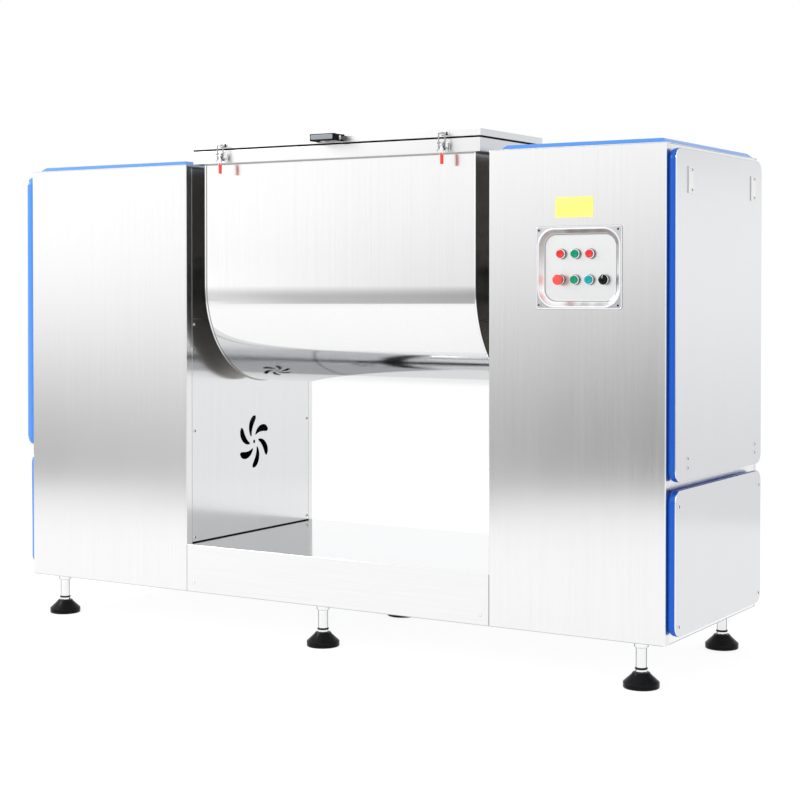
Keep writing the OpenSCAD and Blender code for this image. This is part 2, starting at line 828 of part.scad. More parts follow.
module drive_reducer() color("steelblue") in_place() difference() {
    union() {
        translate([reducer_x0, axis_y - reducer_d / 2, axis_z - reducer_down])
            cube([reducer_w, reducer_d, reducer_down + reducer_up]);
        translate([reducer_x0 - reducer_base_over, axis_y - reducer_d / 2, left_shelf_z + shelf_t])
            cube([reducer_w + 2 * reducer_base_over, reducer_d, reducer_base_t]);
        rod_x(reducer_x1, axis_y, axis_z, reducer_boss_r, reducer_boss_t);
    }
    rod_x(reducer_x0 - cut, axis_y, axis_z, reducer_shaft_r + run_gap,
        reducer_w + reducer_boss_t + 2 * cut);
}

module drive_motor() color("steelblue") in_place() translate([(reducer_x0 + reducer_x1) / 2, axis_y,
    left_shelf_z + shelf_t - motor_len]) {
    cylinder(r = motor_r, h = motor_len);
    translate([0, 0, -cowl_len]) cylinder(r = motor_r - cowl_over, h = cowl_len);
    translate([-terminal_w / 2, -motor_r - terminal_d, motor_len / 2])
        cube([terminal_w, motor_r + terminal_d, terminal_h + terminal_w]);
}

module tilt_reducer() color("steelblue") in_place() difference() {
    translate([tilt_x, axis_y - tilt_d / 2, pinion_z - tilt_down])
        cube([tilt_w, tilt_d, tilt_down + tilt_up]);
    rod_x(tilt_x - cut, axis_y, pinion_z, pinion_shaft_r + run_gap, tilt_w + 2 * cut);
}

module tilt_motor() color("steelblue") in_place() translate([tilt_x + tilt_w / 2,
    axis_y + tilt_d / 2, pinion_z + tilt_motor_neck]) {
    rod_y(0, 0, 0, tilt_motor_r, tilt_motor_len);
    translate([-terminal_w / 2, terminal_d, 0]) cube([terminal_w, terminal_w, tilt_motor_r + terminal_d]);
}

// Places of the buttons in (x, z): column 0 is the left one
function button_at(column, row) = [column_x + column * button_pitch - (row == 0 ? stop_row_shift : 0),
    row == 0 ? row_low_z : row_high_z];
function stop_at() = button_at(0, 0);
function knob_at() = button_at(3, 0) + [knob_extra, 0];
function push_at() = [button_at(0, 1), button_at(1, 1), button_at(2, 1), button_at(1, 0), button_at(2, 0)];

module dish_solid(over, grow) hull() {
    along_y(-over, slice + over) translate([panel_x0 + dish_edge - grow, panel_z + dish_edge - grow])
        rounded(panel_w - 2 * (dish_edge - grow), panel_h - 2 * (dish_edge - grow), dish_r, $fn = 32);
    along_y(floor_y - slice, slice) translate([floor_x0 - grow, floor_z0 - grow])
        rounded(floor_w + 2 * grow, floor_h + 2 * grow, dish_r - dish_edge, $fn = 32);
}

module control_panel() color("gainsboro") in_place() difference() {
    union() {
        along_y(-panel_t, panel_t) translate([panel_x0, panel_z]) rounded(panel_w, panel_h, panel_r);
        translate([0, panel_t, 0]) dish_solid(panel_t, panel_t);
    }
    dish_solid(panel_t + cut, 0);
    control_screws(screw_hole_r, cut);
    for (p = concat(push_at(), [stop_at(), knob_at()]))
        rod_y(p[0], floor_y - cut, p[1], barrel_r + run_gap, panel_t + 2 * cut);
}

// Bezel with a threaded barrel through the dish, a seat for the cap and a bore for its plunger
module bezel(p, seat_r, bore_r) translate([p[0], 0, p[1]]) difference() {
    union() {
        rod_y(0, floor_y - bezel_h, 0, bezel_r, bezel_h);
        rod_y(0, floor_y, 0, barrel_r, barrel_len);
    }
    rod_y(0, floor_y - bezel_h - cut, 0, seat_r, bezel_h - bezel_web + cut);
    rod_y(0, 0, 0, bore_r, floor_y + barrel_len + cut);
}

module button_bezels() color("silver") in_place() {
    for (p = push_at()) bezel(p, button_r + run_gap, plunger_r + run_gap);
    bezel(stop_at(), stop_neck_r + run_gap, plunger_r + run_gap);
    bezel(knob_at(), stop_neck_r + run_gap, plunger_r + run_gap);
}

module control_box() color("lightgray") in_place() translate([panel_x0 + (panel_w - box_w) / 2, sheet_t,
    panel_z + (panel_h - box_h) / 2]) difference() {
    cube([box_w, box_d, box_h]);
    translate([box_t, -cut, box_t]) cube([box_w - 2 * box_t, box_d - box_t + cut, box_h - 2 * box_t]);
}

module label_plate() color("khaki") in_place() translate([label_x, -label_t, panel_z + panel_h + label_rise])
    cube([label_w, label_t, label_h]);

module cable_gland() color("dimgray") in_place() translate([body_w - gland_side, body_d, gland_z]) difference() {
    union() {
        rotate([-90, 0, 0]) cylinder(d = gland_nut_w, h = gland_nut_h, $fn = 6);
        rod_y(0, 0, 0, gland_r, gland_reach);
        rod_y(0, -sheet_t - gland_nut_h, 0, gland_thread_r - run_gap, sheet_t + gland_nut_h);
    }
    rod_y(0, -sheet_t - gland_nut_h - cut, 0, gland_thread_r / 2,
        sheet_t + gland_nut_h + gland_reach + 2 * cut);
}

// Outline of the U in (y, z), about the trough's axis
module u_outline(r, top) {
    circle(r);
    translate([-r, 0]) square([2 * r, top]);
}

module trough_shell() color("silver") in_place() along_x(trough_x0 + end_t, trough_x1 - trough_x0 - 2 * end_t)
    translate([axis_y, axis_z]) difference() {
        u_outline(shell_r, rim_top - rim_t);
        u_outline(shell_r - shell_t, rim_top - rim_t + cut);
    }

module end_plate(x) difference() {
    along_x(x, end_t) translate([axis_y, axis_z]) u_outline(trough_r, rim_top - rim_t);
    rod_x(x - cut, axis_y, axis_z, trunnion_bore_r, end_t + 2 * cut);
}

module trough_ends() color("silver") in_place() {
    end_plate(trough_x0);
    end_plate(trough_x1 - end_t);
}

module trunnion(x, len) difference() {
    union() {
        rod_x(x, axis_y, axis_z, flange_r, flange_t);
        rod_x(x, axis_y, axis_z, trunnion_r, len);
    }
    rod_x(x - cut, axis_y, axis_z, trunnion_bore_r, len + 2 * cut);
}

module trunnions() color("dimgray") in_place() {
    trunnion(trough_x1, trunnion_x1 - trough_x1);
    translate([2 * trough_x0, 0, 0]) mirror([1, 0, 0]) trunnion(trough_x0, trough_x0 - trunnion_x0);
}

module shaft_ring(x, len) difference() {
    rod_x(x, axis_y, axis_z, trunnion_bore_r, len);
    rod_x(x - cut, axis_y, axis_z, shaft_r + run_gap, len + 2 * cut);
}

module shaft_seals() color("ivory") in_place() {
    shaft_ring(trough_x0 + end_t - seal_t, seal_t);
    shaft_ring(trough_x1 - end_t, seal_t);
}

module shaft_bearings() color("silver") in_place() {
    shaft_ring(trunnion_x0, bearing_t);
    shaft_ring(trunnion_x1 - bearing_t, bearing_t);
}

// Spur gear outline with involute flanks drawn by a few chords
pressure_angle = 20;
addendum_share = 1;
dedendum_share = 1.25;
flank_steps = 4;
function involute_turn(base, r) = let (t = sqrt(max(0, pow(r / base, 2) - 1))) t * 180 / PI - atan(t);
function tooth(teeth, k) = let (
    pitch = teeth * tooth_size / 2,
    base = pitch * cos(pressure_angle),
    root = pitch - dedendum_share * tooth_size,
    low = max(root, base),
    top = pitch + addendum_share * tooth_size,
    half = 90 / teeth - tooth_play / 4 / pitch * 180 / PI + involute_turn(base, pitch),
    flank = [for (i = [0:flank_steps]) let (r = low + (top - low) * i / flank_steps)
        [r, half - involute_turn(base, r)]],
    side = root < base ? concat([[root, half]], flank) : flank)
    [for (s = [-1, 1], i = [0:len(side) - 1]) let (p = side[s < 0 ? i : len(side) - 1 - i],
        a = k * 360 / teeth + s * p[1]) [p[0] * cos(a), p[0] * sin(a)]];
module gear_outline(teeth) polygon([for (k = [0:teeth - 1], p = tooth(teeth, k)) p]);

// The gear has a tooth straight down, and the pinion a gap straight up to take it
module tilt_gear() color("slategray") in_place() difference() {
    along_x(gear_x, gear_t) translate([axis_y, axis_z]) rotate(-90) gear_outline(gear_teeth);
    rod_x(gear_x - cut, axis_y, axis_z, trunnion_r, gear_t + 2 * cut);
}

module tilt_pinion() color("slategray") in_place() {
    along_x(gear_x - pinion_over, gear_t + 2 * pinion_over) translate([axis_y, pinion_z])
        rotate(90 + 180 / pinion_teeth) gear_outline(pinion_teeth);
    rod_x(gear_x + gear_t + pinion_over, axis_y, pinion_z, pinion_shaft_r,
        tilt_x + tilt_w - gear_x - gear_t - pinion_over);
}

// Channel ring around the top of the trough, open towards the shell
module trough_rim() color("gainsboro") in_place() translate([rim_x0, 0, rim_z - rim_h]) difference() {
    cube([rim_x1 - rim_x0, rim_d, rim_h]);
    translate([rim_t, rim_t, rim_t])
        cube([rim_x1 - rim_x0 - 2 * rim_t, rim_d - 2 * rim_t, rim_h - 2 * rim_t]);
    translate([rim_over_x, rim_over_y, -cut])
        cube([rim_x1 - rim_x0 - 2 * rim_over_x, rim_d - 2 * rim_over_y, rim_h - rim_t + cut]);
    translate([rim_over_x + end_t, rim_over_y + end_lip + shell_t, 0])
        cube([trough_x1 - trough_x0 - 2 * end_t, rim_d - 2 * (rim_over_y + end_lip + shell_t), rim_h + cut]);
}

cover_y = lid_d - gasket_w - hinge_back;
module rear_cover() color("gainsboro") in_place() translate([trough_x0 + end_t, cover_y, rim_z - rim_t]) {
    cube([trough_x1 - trough_x0 - 2 * end_t, rim_d - rim_over_y - end_lip - shell_t - cover_y, rim_t]);
    translate([0, 0, -cover_flange]) cube([trough_x1 - trough_x0 - 2 * end_t, rim_t, cover_flange]);
}

gasket_edge = 1;
module rim_gasket() color("black") in_place() translate([rim_x0 + gasket_edge, gasket_edge, rim_z]) difference() {
    cube([rim_x1 - rim_x0 - 2 * gasket_edge, lid_d - 2 * gasket_edge, gasket_h]);
    translate([gasket_w, gasket_w, -cut]) cube([rim_x1 - rim_x0 - 2 * (gasket_edge + gasket_w),
        lid_d - 2 * (gasket_edge + gasket_w), gasket_h + 2 * cut]);
}

module at_hinges() for (i = [0:hinge_count - 1]) translate([rim_x0 + hinge_end
    + i * (rim_x1 - rim_x0 - 2 * hinge_end) / (hinge_count - 1) - hinge_w / 2, 0, 0]) children();

// Lower leaf with a knuckle at each end, and the pin through all three knuckles
module lower_hinges() color("silver") in_place() at_hinges() {
    third = hinge_w / 3;
    difference() {
        union() {
            translate([0, hinge_y - knuckle_r, rim_z]) cube([hinge_w, leaf_d, leaf_t]);
            for (x = [0, 2 * third]) {
                translate([x, hinge_y - knuckle_r, rim_z]) cube([third - leaf_gap, 2 * knuckle_r, hinge_up]);
                rod_x(x, hinge_y, hinge_z, knuckle_r, third - leaf_gap);
            }
        }
        rod_x(-cut, hinge_y, hinge_z, hinge_pin_r + run_gap, hinge_w + 2 * cut);
    }
    rod_x(0, hinge_y, hinge_z, hinge_pin_r, hinge_w - leaf_gap);
}

module upper_hinges() color("silver") in_place() at_hinges() translate([hinge_w / 3, 0, 0]) difference() {
    union() {
        translate([0, lid_d, rim_z + gasket_h + leaf_t])
            cube([hinge_w / 3 - leaf_gap, leaf_t, lid_h - 2 * leaf_t]);
        translate([0, lid_d, hinge_z - knuckle_r / 2]) cube([hinge_w / 3 - leaf_gap, hinge_back, knuckle_r]);
        rod_x(0, hinge_y, hinge_z, knuckle_r, hinge_w / 3 - leaf_gap);
    }
    rod_x(-cut, hinge_y, hinge_z, hinge_pin_r + run_gap, hinge_w + 2 * cut);
}

// Pan with a flange turned in around its bottom, which rests on the gasket
module lid_panel() color("gainsboro") in_place() translate([rim_x0 - lid_over, 0, rim_z + gasket_h]) difference() {
    cube([rim_x1 - rim_x0 + 2 * lid_over, lid_d, lid_h]);
    translate([lid_t, lid_t, lid_t])
        cube([rim_x1 - rim_x0 + 2 * (lid_over - lid_t), lid_d - 2 * lid_t, lid_h - 2 * lid_t]);
    translate([lid_flange, lid_flange, -cut])
        cube([rim_x1 - rim_x0 + 2 * (lid_over - lid_flange), lid_d - 2 * lid_flange, lid_h - lid_t + cut]);
}

// Bridge handle on the lid's front skirt, with a slot through each leg and spread feet
module handle_frame() color("black") in_place() translate([handle_mid - handle_w / 2,
    0, rim_z + gasket_h]) difference() {
    union() {
        translate([0, -handle_reach + facing_t, 0]) cube([handle_w, handle_t, handle_up]);
        for (x = [0, handle_w - handle_leg])
            translate([x, -handle_reach + facing_t, 0]) cube([handle_leg, handle_reach - facing_t, lid_h]);
        for (x = [-handle_foot, handle_w - handle_leg])
            translate([x, -handle_leg, 0]) cube([handle_leg + handle_foot, handle_leg, lid_h]);
    }
    translate([-handle_foot - cut, -handle_leg - handle_slot, handle_slot_edge])
        cube([handle_w + 2 * (handle_foot + cut), handle_slot, lid_h - 2 * handle_slot_edge]);
}

module handle_facing() color("silver") in_place() translate([handle_mid - handle_w / 2 + facing_edge,
    -handle_reach, rim_z + gasket_h + facing_edge])
    cube([handle_w - 2 * facing_edge, facing_t, handle_up - 2 * facing_edge]);

module at_clamps() for (s = [-1, 1]) translate([clamp_mid + s * clamp_x, 0, 0]) children();

module clamp_ear(x) along_x(x, ear_t) {
    translate([-clamp_y, rim_z - clamp_drop]) circle(ear_nose_r);
    translate([-clamp_y, rim_z - clamp_drop - ear_nose_r]) square([clamp_y - clamp_plate_t, 2 * ear_nose_r]);
}

module clamp_bases() color("silver") in_place() at_clamps() {
    ear_x = lever_w / 2 + run_gap;
    translate([-clamp_w / 2, -clamp_plate_t, rim_z - clamp_drop - clamp_plate_down])
        cube([clamp_w, clamp_plate_t, clamp_plate_down + clamp_plate_up]);
    clamp_ear(-ear_x - ear_t);
    clamp_ear(ear_x);
    rod_x(-ear_x - ear_t, -clamp_y, rim_z - clamp_drop, lever_pin_r, 2 * (ear_x + ear_t));
}

// Hook on the lid, whose nose ends just behind the bail's bar
module clamp_keepers() color("silver") in_place() at_clamps() {
    nose_y = -clamp_y + bail_r + keeper_nose_gap;
    translate([-keeper_w / 2, -keeper_t, rim_z + gasket_h + keeper_up])
        cube([keeper_w, keeper_t, lid_h - 2 * keeper_up]);
    along_x(-keeper_nose_w / 2, keeper_nose_w) translate([nose_y, bail_z1 - bail_r - keeper_nose_h]) {
        square([-nose_y - keeper_t, keeper_nose_h]);
        square([keeper_t, keeper_nose_h + keeper_lip]);
    }
}

// Lever that hangs from its pin, with a vinyl grip over its lower end
module clamp_lever(x) translate([x, -clamp_y, rim_z - clamp_drop]) {
    color("silver") difference() {
        union() {
            rod_x(-lever_w / 2, 0, 0, lever_boss_r, lever_w);
            translate([-lever_w / 2, -lever_t / 2, -lever_len + grip_len])
                cube([lever_w, lever_t, lever_len - grip_len]);
        }
        rod_x(-lever_w / 2 - cut, 0, 0, lever_pin_r + run_gap, lever_w + 2 * cut);
        rod_x(-lever_w / 2 - cut, 0, -clamp_crank, bail_pin_r + run_gap, lever_w + 2 * cut);
    }
    color("crimson") translate([-lever_w / 2, -grip_t / 2, -lever_len]) {
        translate([0, 0, lever_w / 2]) cube([lever_w, grip_t, grip_len - lever_w / 2]);
        translate([lever_w / 2, 0, lever_w / 2]) rotate([-90, 0, 0]) cylinder(r = lever_w / 2, h = grip_t);
    }
}

// Wire loop: two legs, the top bar and the pins into the lever
module clamp_bail(x) color("silver") translate([x, -clamp_y, bail_z0]) {
    leg_x = bail_w / 2 + bail_r;
    for (s = [-1, 1]) {
        translate([s * leg_x, 0, 0]) cylinder(r = bail_r, h = bail_z1 - bail_z0);
        for (z = [0, bail_z1 - bail_z0]) translate([s * leg_x, 0, z]) sphere(r = bail_r);
    }
    rod_x(-leg_x, 0, bail_z1 - bail_z0, bail_r, 2 * leg_x);
    rod_x(-leg_x, 0, 0, bail_pin_r, 2 * leg_x);
}

module left_clamp_lever() in_place() clamp_lever(clamp_mid - clamp_x);
module right_clamp_lever() in_place() clamp_lever(clamp_mid + clamp_x);
module left_clamp_bail() in_place() clamp_bail(clamp_mid - clamp_x);
module right_clamp_bail() in_place() clamp_bail(clamp_mid + clamp_x);

module agitator_shaft() color("silver") in_place()
    rod_x(coupling_mid, axis_y, axis_z, shaft_r, trunnion_x1 + shaft_over - coupling_mid);

// Ribbons and arms: the ribbons start at one end wall and reach the other
ribbon_x0 = trough_x0 + end_t + ribbon_gap;
ribbon_x1 = trough_x1 - end_t - ribbon_gap;
outer_ribbon_r = shell_r - shell_t - ribbon_gap;
ribbon_steps = 40;
function ribbon_turn(x) = 360 * ribbon_turns * (x - ribbon_x0) / (ribbon_x1 - ribbon_x0);
function ribbon_ring(x, r, w, hand, start) = let (a = start + hand * ribbon_turn(x)) [
    for (q = [[r - w, -hand], [r, -hand], [r, hand], [r - w, hand]])
        [x + q[1] * ribbon_t / 2, axis_y + q[0] * cos(a), axis_z + q[0] * sin(a)]];
module ribbon(r, w, hand, start) {
    rings = [for (i = [0:ribbon_steps]) ribbon_ring(
        ribbon_x0 + ribbon_t / 2 + (ribbon_x1 - ribbon_x0 - ribbon_t) * i / ribbon_steps, r, w, hand, start)];
    quads = [for (i = [0:ribbon_steps - 1], j = [0:3])
        [4 * i + j, 4 * i + (j + 1) % 4, 4 * i + 4 + (j + 1) % 4, 4 * i + 4 + j]];
    polyhedron([for (ring = rings, p = ring) p],
        concat([[3, 2, 1, 0]], quads, [[for (j = [0:3]) 4 * ribbon_steps + j]]));
}

module agitator_ribbons() color("silver") in_place() for (start = [0, 180]) {
    ribbon(outer_ribbon_r, outer_ribbon_w, 1, start);
    ribbon(inner_ribbon_r, inner_ribbon_w, -1, start + 90);
}

module arm(x, a, r) translate([x, axis_y, axis_z]) rotate([a, 0, 0]) translate([0, -r, 0])
    rotate([-90, 0, 0]) cylinder(r = arm_r, h = 2 * r);

module agitator_arms() color("silver") in_place() for (i = [0:arm_stations - 1]) {
    x = ribbon_x0 + ribbon_t / 2 + arm_r
        + i * (ribbon_x1 - ribbon_x0 - ribbon_t - 2 * arm_r) / (arm_stations - 1);
    arm(x, ribbon_turn(x), outer_ribbon_r - outer_ribbon_w / 2);
    arm(x, 90 - ribbon_turn(x), inner_ribbon_r - inner_ribbon_w / 2);
}

// Coupling halves, bolted together, with the reducer's output shaft
module drive_coupling() color("dimgray") in_place() difference() {
    union() {
        rod_x(coupling_x0, axis_y, axis_z, coupling_hub_r, coupling_t);
        rod_x(coupling_mid - coupling_flange_t / 2, axis_y, axis_z, coupling_r, coupling_flange_t);
        rod_x(reducer_x0, axis_y, axis_z, reducer_shaft_r, coupling_x0 - reducer_x0);
    }
    rod_x(coupling_mid, axis_y, axis_z, shaft_r, coupling_t);
}

// Push button: the cap in the bezel's seat and the plunger in its bore
module push_button(p, tint) color(tint) translate([p[0], 0, p[1]]) {
    cap_back = floor_y - bezel_web - button_travel - button_play;
    cap_front = floor_y - bezel_h - button_proud;
    rod_y(0, cap_front, 0, button_r, cap_back - cap_front);
    rod_y(0, cap_back, 0, plunger_r, floor_y + barrel_len - button_travel - cap_back);
}

module button_top_left() in_place() push_button(button_at(0, 1), "red");
module button_top_middle() in_place() push_button(button_at(1, 1), "green");
module button_top_right() in_place() push_button(button_at(2, 1), "red");
module button_low_middle() in_place() push_button(button_at(1, 0), "green");
module button_low_right() in_place() push_button(button_at(2, 0), "turquoise");

module stop_button() color("red") in_place() translate([stop_at()[0], 0, stop_at()[1]]) {
    back = floor_y - bezel_web - stop_travel - button_play;
    head = floor_y - bezel_h - stop_proud;
    rod_y(0, head - stop_head_h, 0, stop_r, stop_head_h);
    rod_y(0, head, 0, stop_neck_r, back - head);
    rod_y(0, back, 0, plunger_r, floor_y + barrel_len - stop_travel - back);
}

module selector_knob() color("black") in_place() translate([knob_at()[0], 0, knob_at()[1]]) {
    seat = floor_y - bezel_h - knob_gap;
    rod_y(0, seat - knob_skirt_h, 0, knob_r, knob_skirt_h);
    rod_y(0, seat - knob_h, 0, knob_grip_r, knob_h - knob_skirt_h);
    rod_y(0, seat, 0, stop_neck_r, bezel_h - bezel_web);
    rod_y(0, floor_y - bezel_web - knob_gap, 0, plunger_r, bezel_web + knob_gap + barrel_len);
}

machine_frame();
front_panels();
inner_panels();
vent_covers();
rear_panels();
outer_panels();
top_panels();
top_caps();
floor_pans();
base_cover();
door_trays();
door_skins();
hanger_plates();
panel_screws();
foot_pads();
foot_nuts();
foot_stems();
trunnion_bearings();
drive_reducer();
drive_motor();
tilt_reducer();
tilt_motor();
control_panel();
button_bezels();
control_box();
label_plate();
cable_gland();
trough_shell();
trough_ends();
trunnions();
shaft_seals();
shaft_bearings();
tilt_gear();
trough_rim();
rim_gasket();
rear_cover();
lower_hinges();
clamp_bases();
lid_panel();
upper_hinges();
handle_frame();
handle_facing();
clamp_keepers();
left_clamp_lever();
left_clamp_bail();
right_clamp_lever();
right_clamp_bail();
agitator_shaft();
agitator_arms();
agitator_ribbons();
drive_coupling();
tilt_pinion();
button_top_left();
button_top_middle();
button_top_right();
button_low_middle();
button_low_right();
stop_button();
selector_knob();
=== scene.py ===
import math

import bmesh
import bpy
from mathutils import Matrix, Vector


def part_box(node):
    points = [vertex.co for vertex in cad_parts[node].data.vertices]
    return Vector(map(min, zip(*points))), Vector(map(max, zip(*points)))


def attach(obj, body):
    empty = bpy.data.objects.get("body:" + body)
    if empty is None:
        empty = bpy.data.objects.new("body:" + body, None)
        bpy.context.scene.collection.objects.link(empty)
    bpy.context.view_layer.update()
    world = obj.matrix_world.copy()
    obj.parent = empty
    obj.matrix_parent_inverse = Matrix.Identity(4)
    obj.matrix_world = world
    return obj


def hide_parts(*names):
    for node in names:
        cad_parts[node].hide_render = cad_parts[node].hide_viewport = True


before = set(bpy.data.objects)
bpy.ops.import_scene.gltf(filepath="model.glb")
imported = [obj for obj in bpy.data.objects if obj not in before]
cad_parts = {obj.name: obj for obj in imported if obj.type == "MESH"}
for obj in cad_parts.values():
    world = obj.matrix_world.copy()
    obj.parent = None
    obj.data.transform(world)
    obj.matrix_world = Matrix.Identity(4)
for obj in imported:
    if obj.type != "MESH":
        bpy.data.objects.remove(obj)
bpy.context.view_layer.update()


# Camera of the photograph, fitted to the body's edges

cameraSetup = {
    "place": (3.0356, -4.7825, 1.1292),
    "yaw": 31.55,  # degrees to the left of straight ahead
    "down": 1.034,
    "lens": 77.13,
    "sensor": 36,
    "shiftY": -0.1003,
}


def makeCamera(setup):
    data = bpy.data.cameras.new("photoCamera")
    data.lens = setup["lens"]
    data.sensor_width = setup["sensor"]
    data.shift_y = setup["shiftY"]
    camera = bpy.data.objects.new("photoCamera", data)
    camera.location = setup["place"]
    camera.rotation_euler = (math.radians(90 - setup["down"]), 0, math.radians(setup["yaw"]))
    bpy.context.scene.collection.objects.link(camera)
    bpy.context.scene.camera = camera


makeCamera(cameraSetup)
print("camera set")


# Shader tools


class Sock:
    # An output socket that can be used in plain arithmetic
    def __init__(self, tree, out):
        self.tree = tree
        self.out = out

    def maths(self, operation, *values):
        node = self.tree.nodes.new("ShaderNodeMath")
        node.operation = operation
        for slot, value in zip(node.inputs, values):
            feed(self.tree, slot, value)
        return Sock(self.tree, node.outputs[0])

    def __add__(self, other):
        return self.maths("ADD", self, other)

    __radd__ = __add__

    def __mul__(self, other):
        return self.maths("MULTIPLY", self, other)

    __rmul__ = __mul__

    def __sub__(self, other):
        return self.maths("SUBTRACT", self, other)

    def __rsub__(self, other):
        return self.maths("SUBTRACT", other, self)

    def __truediv__(self, other):
        return self.maths("DIVIDE", self, other)

    def __pow__(self, other):
        return self.maths("POWER", self, other)

    def clip(self, low=0.0, high=1.0):
        return self.maths("MINIMUM", self.maths("MAXIMUM", self, low), high)


def feed(tree, slot, value):
    # Links a socket, or sets a plain value with the length that the slot has
    if isinstance(value, Sock):
        tree.links.new(value.out, slot)
    elif slot.type == "RGBA" and len(value) == 3:
        slot.default_value = (*value, 1)
    else:
        slot.default_value = value


class Finish:
    def __init__(self, name, tree=None):
        if tree is None:
            self.material = bpy.data.materials.new(name)
            self.material.use_nodes = True
            tree = self.material.node_tree
        self.tree = tree
        self.shader = tree.nodes.get("Principled BSDF")

    def node(self, kind, settings=None, values=None, out=0):
        node = self.tree.nodes.new("ShaderNode" + kind)
        for key, value in (settings or {}).items():
            if key == "stops":
                ramp = node.color_ramp
                while len(ramp.elements) < len(value):
                    ramp.elements.new(0.5)
                for element, (place, colour) in zip(ramp.elements, value):
                    element.position = place
                    element.color = (*colour, 1)
            else:
                setattr(node, key, value)
        for key, value in (values or {}).items():
            feed(self.tree, node.inputs[key], value)
        return Sock(self.tree, node.outputs[out])

    def spot(self, axis):
        # Where a point of a piece lies along one axis
        return self.node("SeparateXYZ", None, {0: self.node("TexCoord", out="Object")}, axis)

    def noise(self, scale, detail=2.0, rough=0.5, move=(0, 0, 0)):
        scale = (scale,) * 3 if isinstance(scale, (int, float)) else scale
        spot = self.node("TexCoord", out="Object")
        place = self.node("Mapping", None, {"Vector": spot, "Scale": scale, "Location": move})
        values = {"Vector": place, "Scale": 1.0, "Detail": detail, "Roughness": rough}
        return self.node("TexNoise", None, values)

    def ramp(self, value, *stops):
        return self.node("ValToRGB", {"stops": stops}, {"Fac": value})

    def eased(self, value, low, high):
        # A soft step from 0 at low to 1 at high
        return self.node("MapRange", {"interpolation_type": "SMOOTHSTEP"}, {
            "Value": value, "From Min": low, "From Max": high})

    def mixed(self, share, first, second):
        return self.node("Mix", {"data_type": "RGBA"}, {0: share, 6: first, 7: second}, 2)

    def bump(self, height, depth, strength=1.0):
        return self.node("Bump", None, {"Height": height, "Distance": depth, "Strength": strength})

    def shade(self, **values):
        names = {"colour": "Base Color", "rough": "Roughness", "metal": "Metallic", "normal": "Normal",
                 "coat": "Coat Weight", "coatRough": "Coat Roughness", "aniso": "Anisotropic",
                 "specular": "Specular IOR Level", "glow": "Emission Color"}
        for key, value in values.items():
            feed(self.tree, self.shader.inputs[names[key]], value)
        return self


# Finishes of the machine

steelLooks = {
    "fineGrain": 1300,  # strokes per metre across the grain
    "grainDepth": 0.000008,
    "roughSpread": 0.05,
    "streaks": (240, 240, 2),  # on the trough, per metre
}


def grainScale(along, across, length):
    return tuple(length if axis == along else across for axis in "XYZ")


def dimmed(colour, share):
    return tuple(c * share for c in colour)


def brushedSteel(name, along="Z", dark=(0.785, 0.788, 0.79), light=(0.83, 0.83, 0.827), rough=0.20,
                 stretch=0.85, length=5):
    made = Finish(name)
    grain = steelLooks["fineGrain"]
    fine = made.noise(grainScale(along, grain, length), 3, 0.6)
    medium = made.noise(grainScale(along, grain / 5, length / 3), 3, 0.6, (5, 3, 1))
    cloud = made.noise(grainScale(along, 9, 1.5), 2, 0.5, (2, 7, 4))
    tone = (medium * 0.35 + fine * 0.5 + cloud * 0.15).clip()
    strokes = made.ramp(tone, (0.36, (0, 0, 0)), (0.62, (1, 1, 1)))
    return made.shade(
        colour=made.mixed(strokes, dark, light),
        rough=(fine - 0.5) * steelLooks["roughSpread"] + (cloud - 0.5) * 0.03 + rough,
        metal=1.0,
        normal=made.bump(fine * 0.6 + medium * 0.4, steelLooks["grainDepth"], 0.35),
        aniso=stretch)


def troughSteel(name, wallRough, belowRough, top, bottom, stretch):
    # Ground on the upright wall, polished underneath
    made = brushedSteel(name, rough=wallRough, stretch=stretch, length=3)
    below = made.eased(made.spot(2), bottom, top)
    streaks = made.noise(steelLooks["streaks"], 3, 0.65)
    spread = (below * 4).clip() * 0.12 + 0.02
    return made.shade(rough=below * (wallRough - belowRough) + belowRough + (streaks - 0.5) * spread)


def polishedSteel(name, rough, colour=(0.86, 0.86, 0.855)):
    made = Finish(name)
    strokes = made.noise(grainScale("X", 700, 5), 2, 0.5)
    waves = made.noise(2.6, 1, 0.4, (3, 1, 8))
    return made.shade(
        colour=made.mixed(strokes, dimmed(colour, 0.94), colour),
        rough=(strokes - 0.5) * 0.05 + (waves - 0.5) * 0.03 + rough,
        metal=1.0,
        normal=made.bump(strokes * 0.3 + waves * 3.0, 0.00008, 0.25))


def brightPlating(name, colour=(0.88, 0.885, 0.89), rough=0.09, darkRimFrom=0.5, darkRimShade=0.95):
    # Painted dark reflection: nearly black and dull where the surface turns away from view, standing in for
    # the dark surroundings that small bright parts mirror at their rims
    made = Finish(name)
    haze = made.noise(60, 3, 0.55)
    specks = made.noise(900, 1, 0.5, (1, 2, 3))
    turned = made.node("LayerWeight", None, {"Blend": 0.5}, 1)
    # painted dark reflection at the rims
    edge = ((turned - darkRimFrom) * 4.5).clip() * darkRimShade
    return made.shade(
        colour=made.mixed(edge, made.mixed(haze, dimmed(colour, 0.93), colour), dimmed(colour, 0.08)),
        rough=haze * 0.07 + (specks - 0.5) * 0.04 + rough - 0.03,
        metal=1.0 - edge,
        specular=0.0,
        normal=made.bump(haze * 0.7 + specks * 0.3, 0.00003, 0.3))


def gloss(name, colour, rough=0.28, coat=0.5, grain=420, depth=0.00004, specular=0.5):
    made = Finish(name)
    peel = made.noise(grain, 2, 0.5)
    patch = made.noise(7, 2, 0.5, (4, 4, 1))
    return made.shade(
        colour=made.mixed(patch, dimmed(colour, 0.9), colour),
        rough=(patch - 0.5) * 0.08 + (peel - 0.5) * 0.05 + rough,
        metal=0.0,
        coat=coat,
        coatRough=0.12,
        specular=specular,
        normal=made.bump(peel, depth, 0.4))


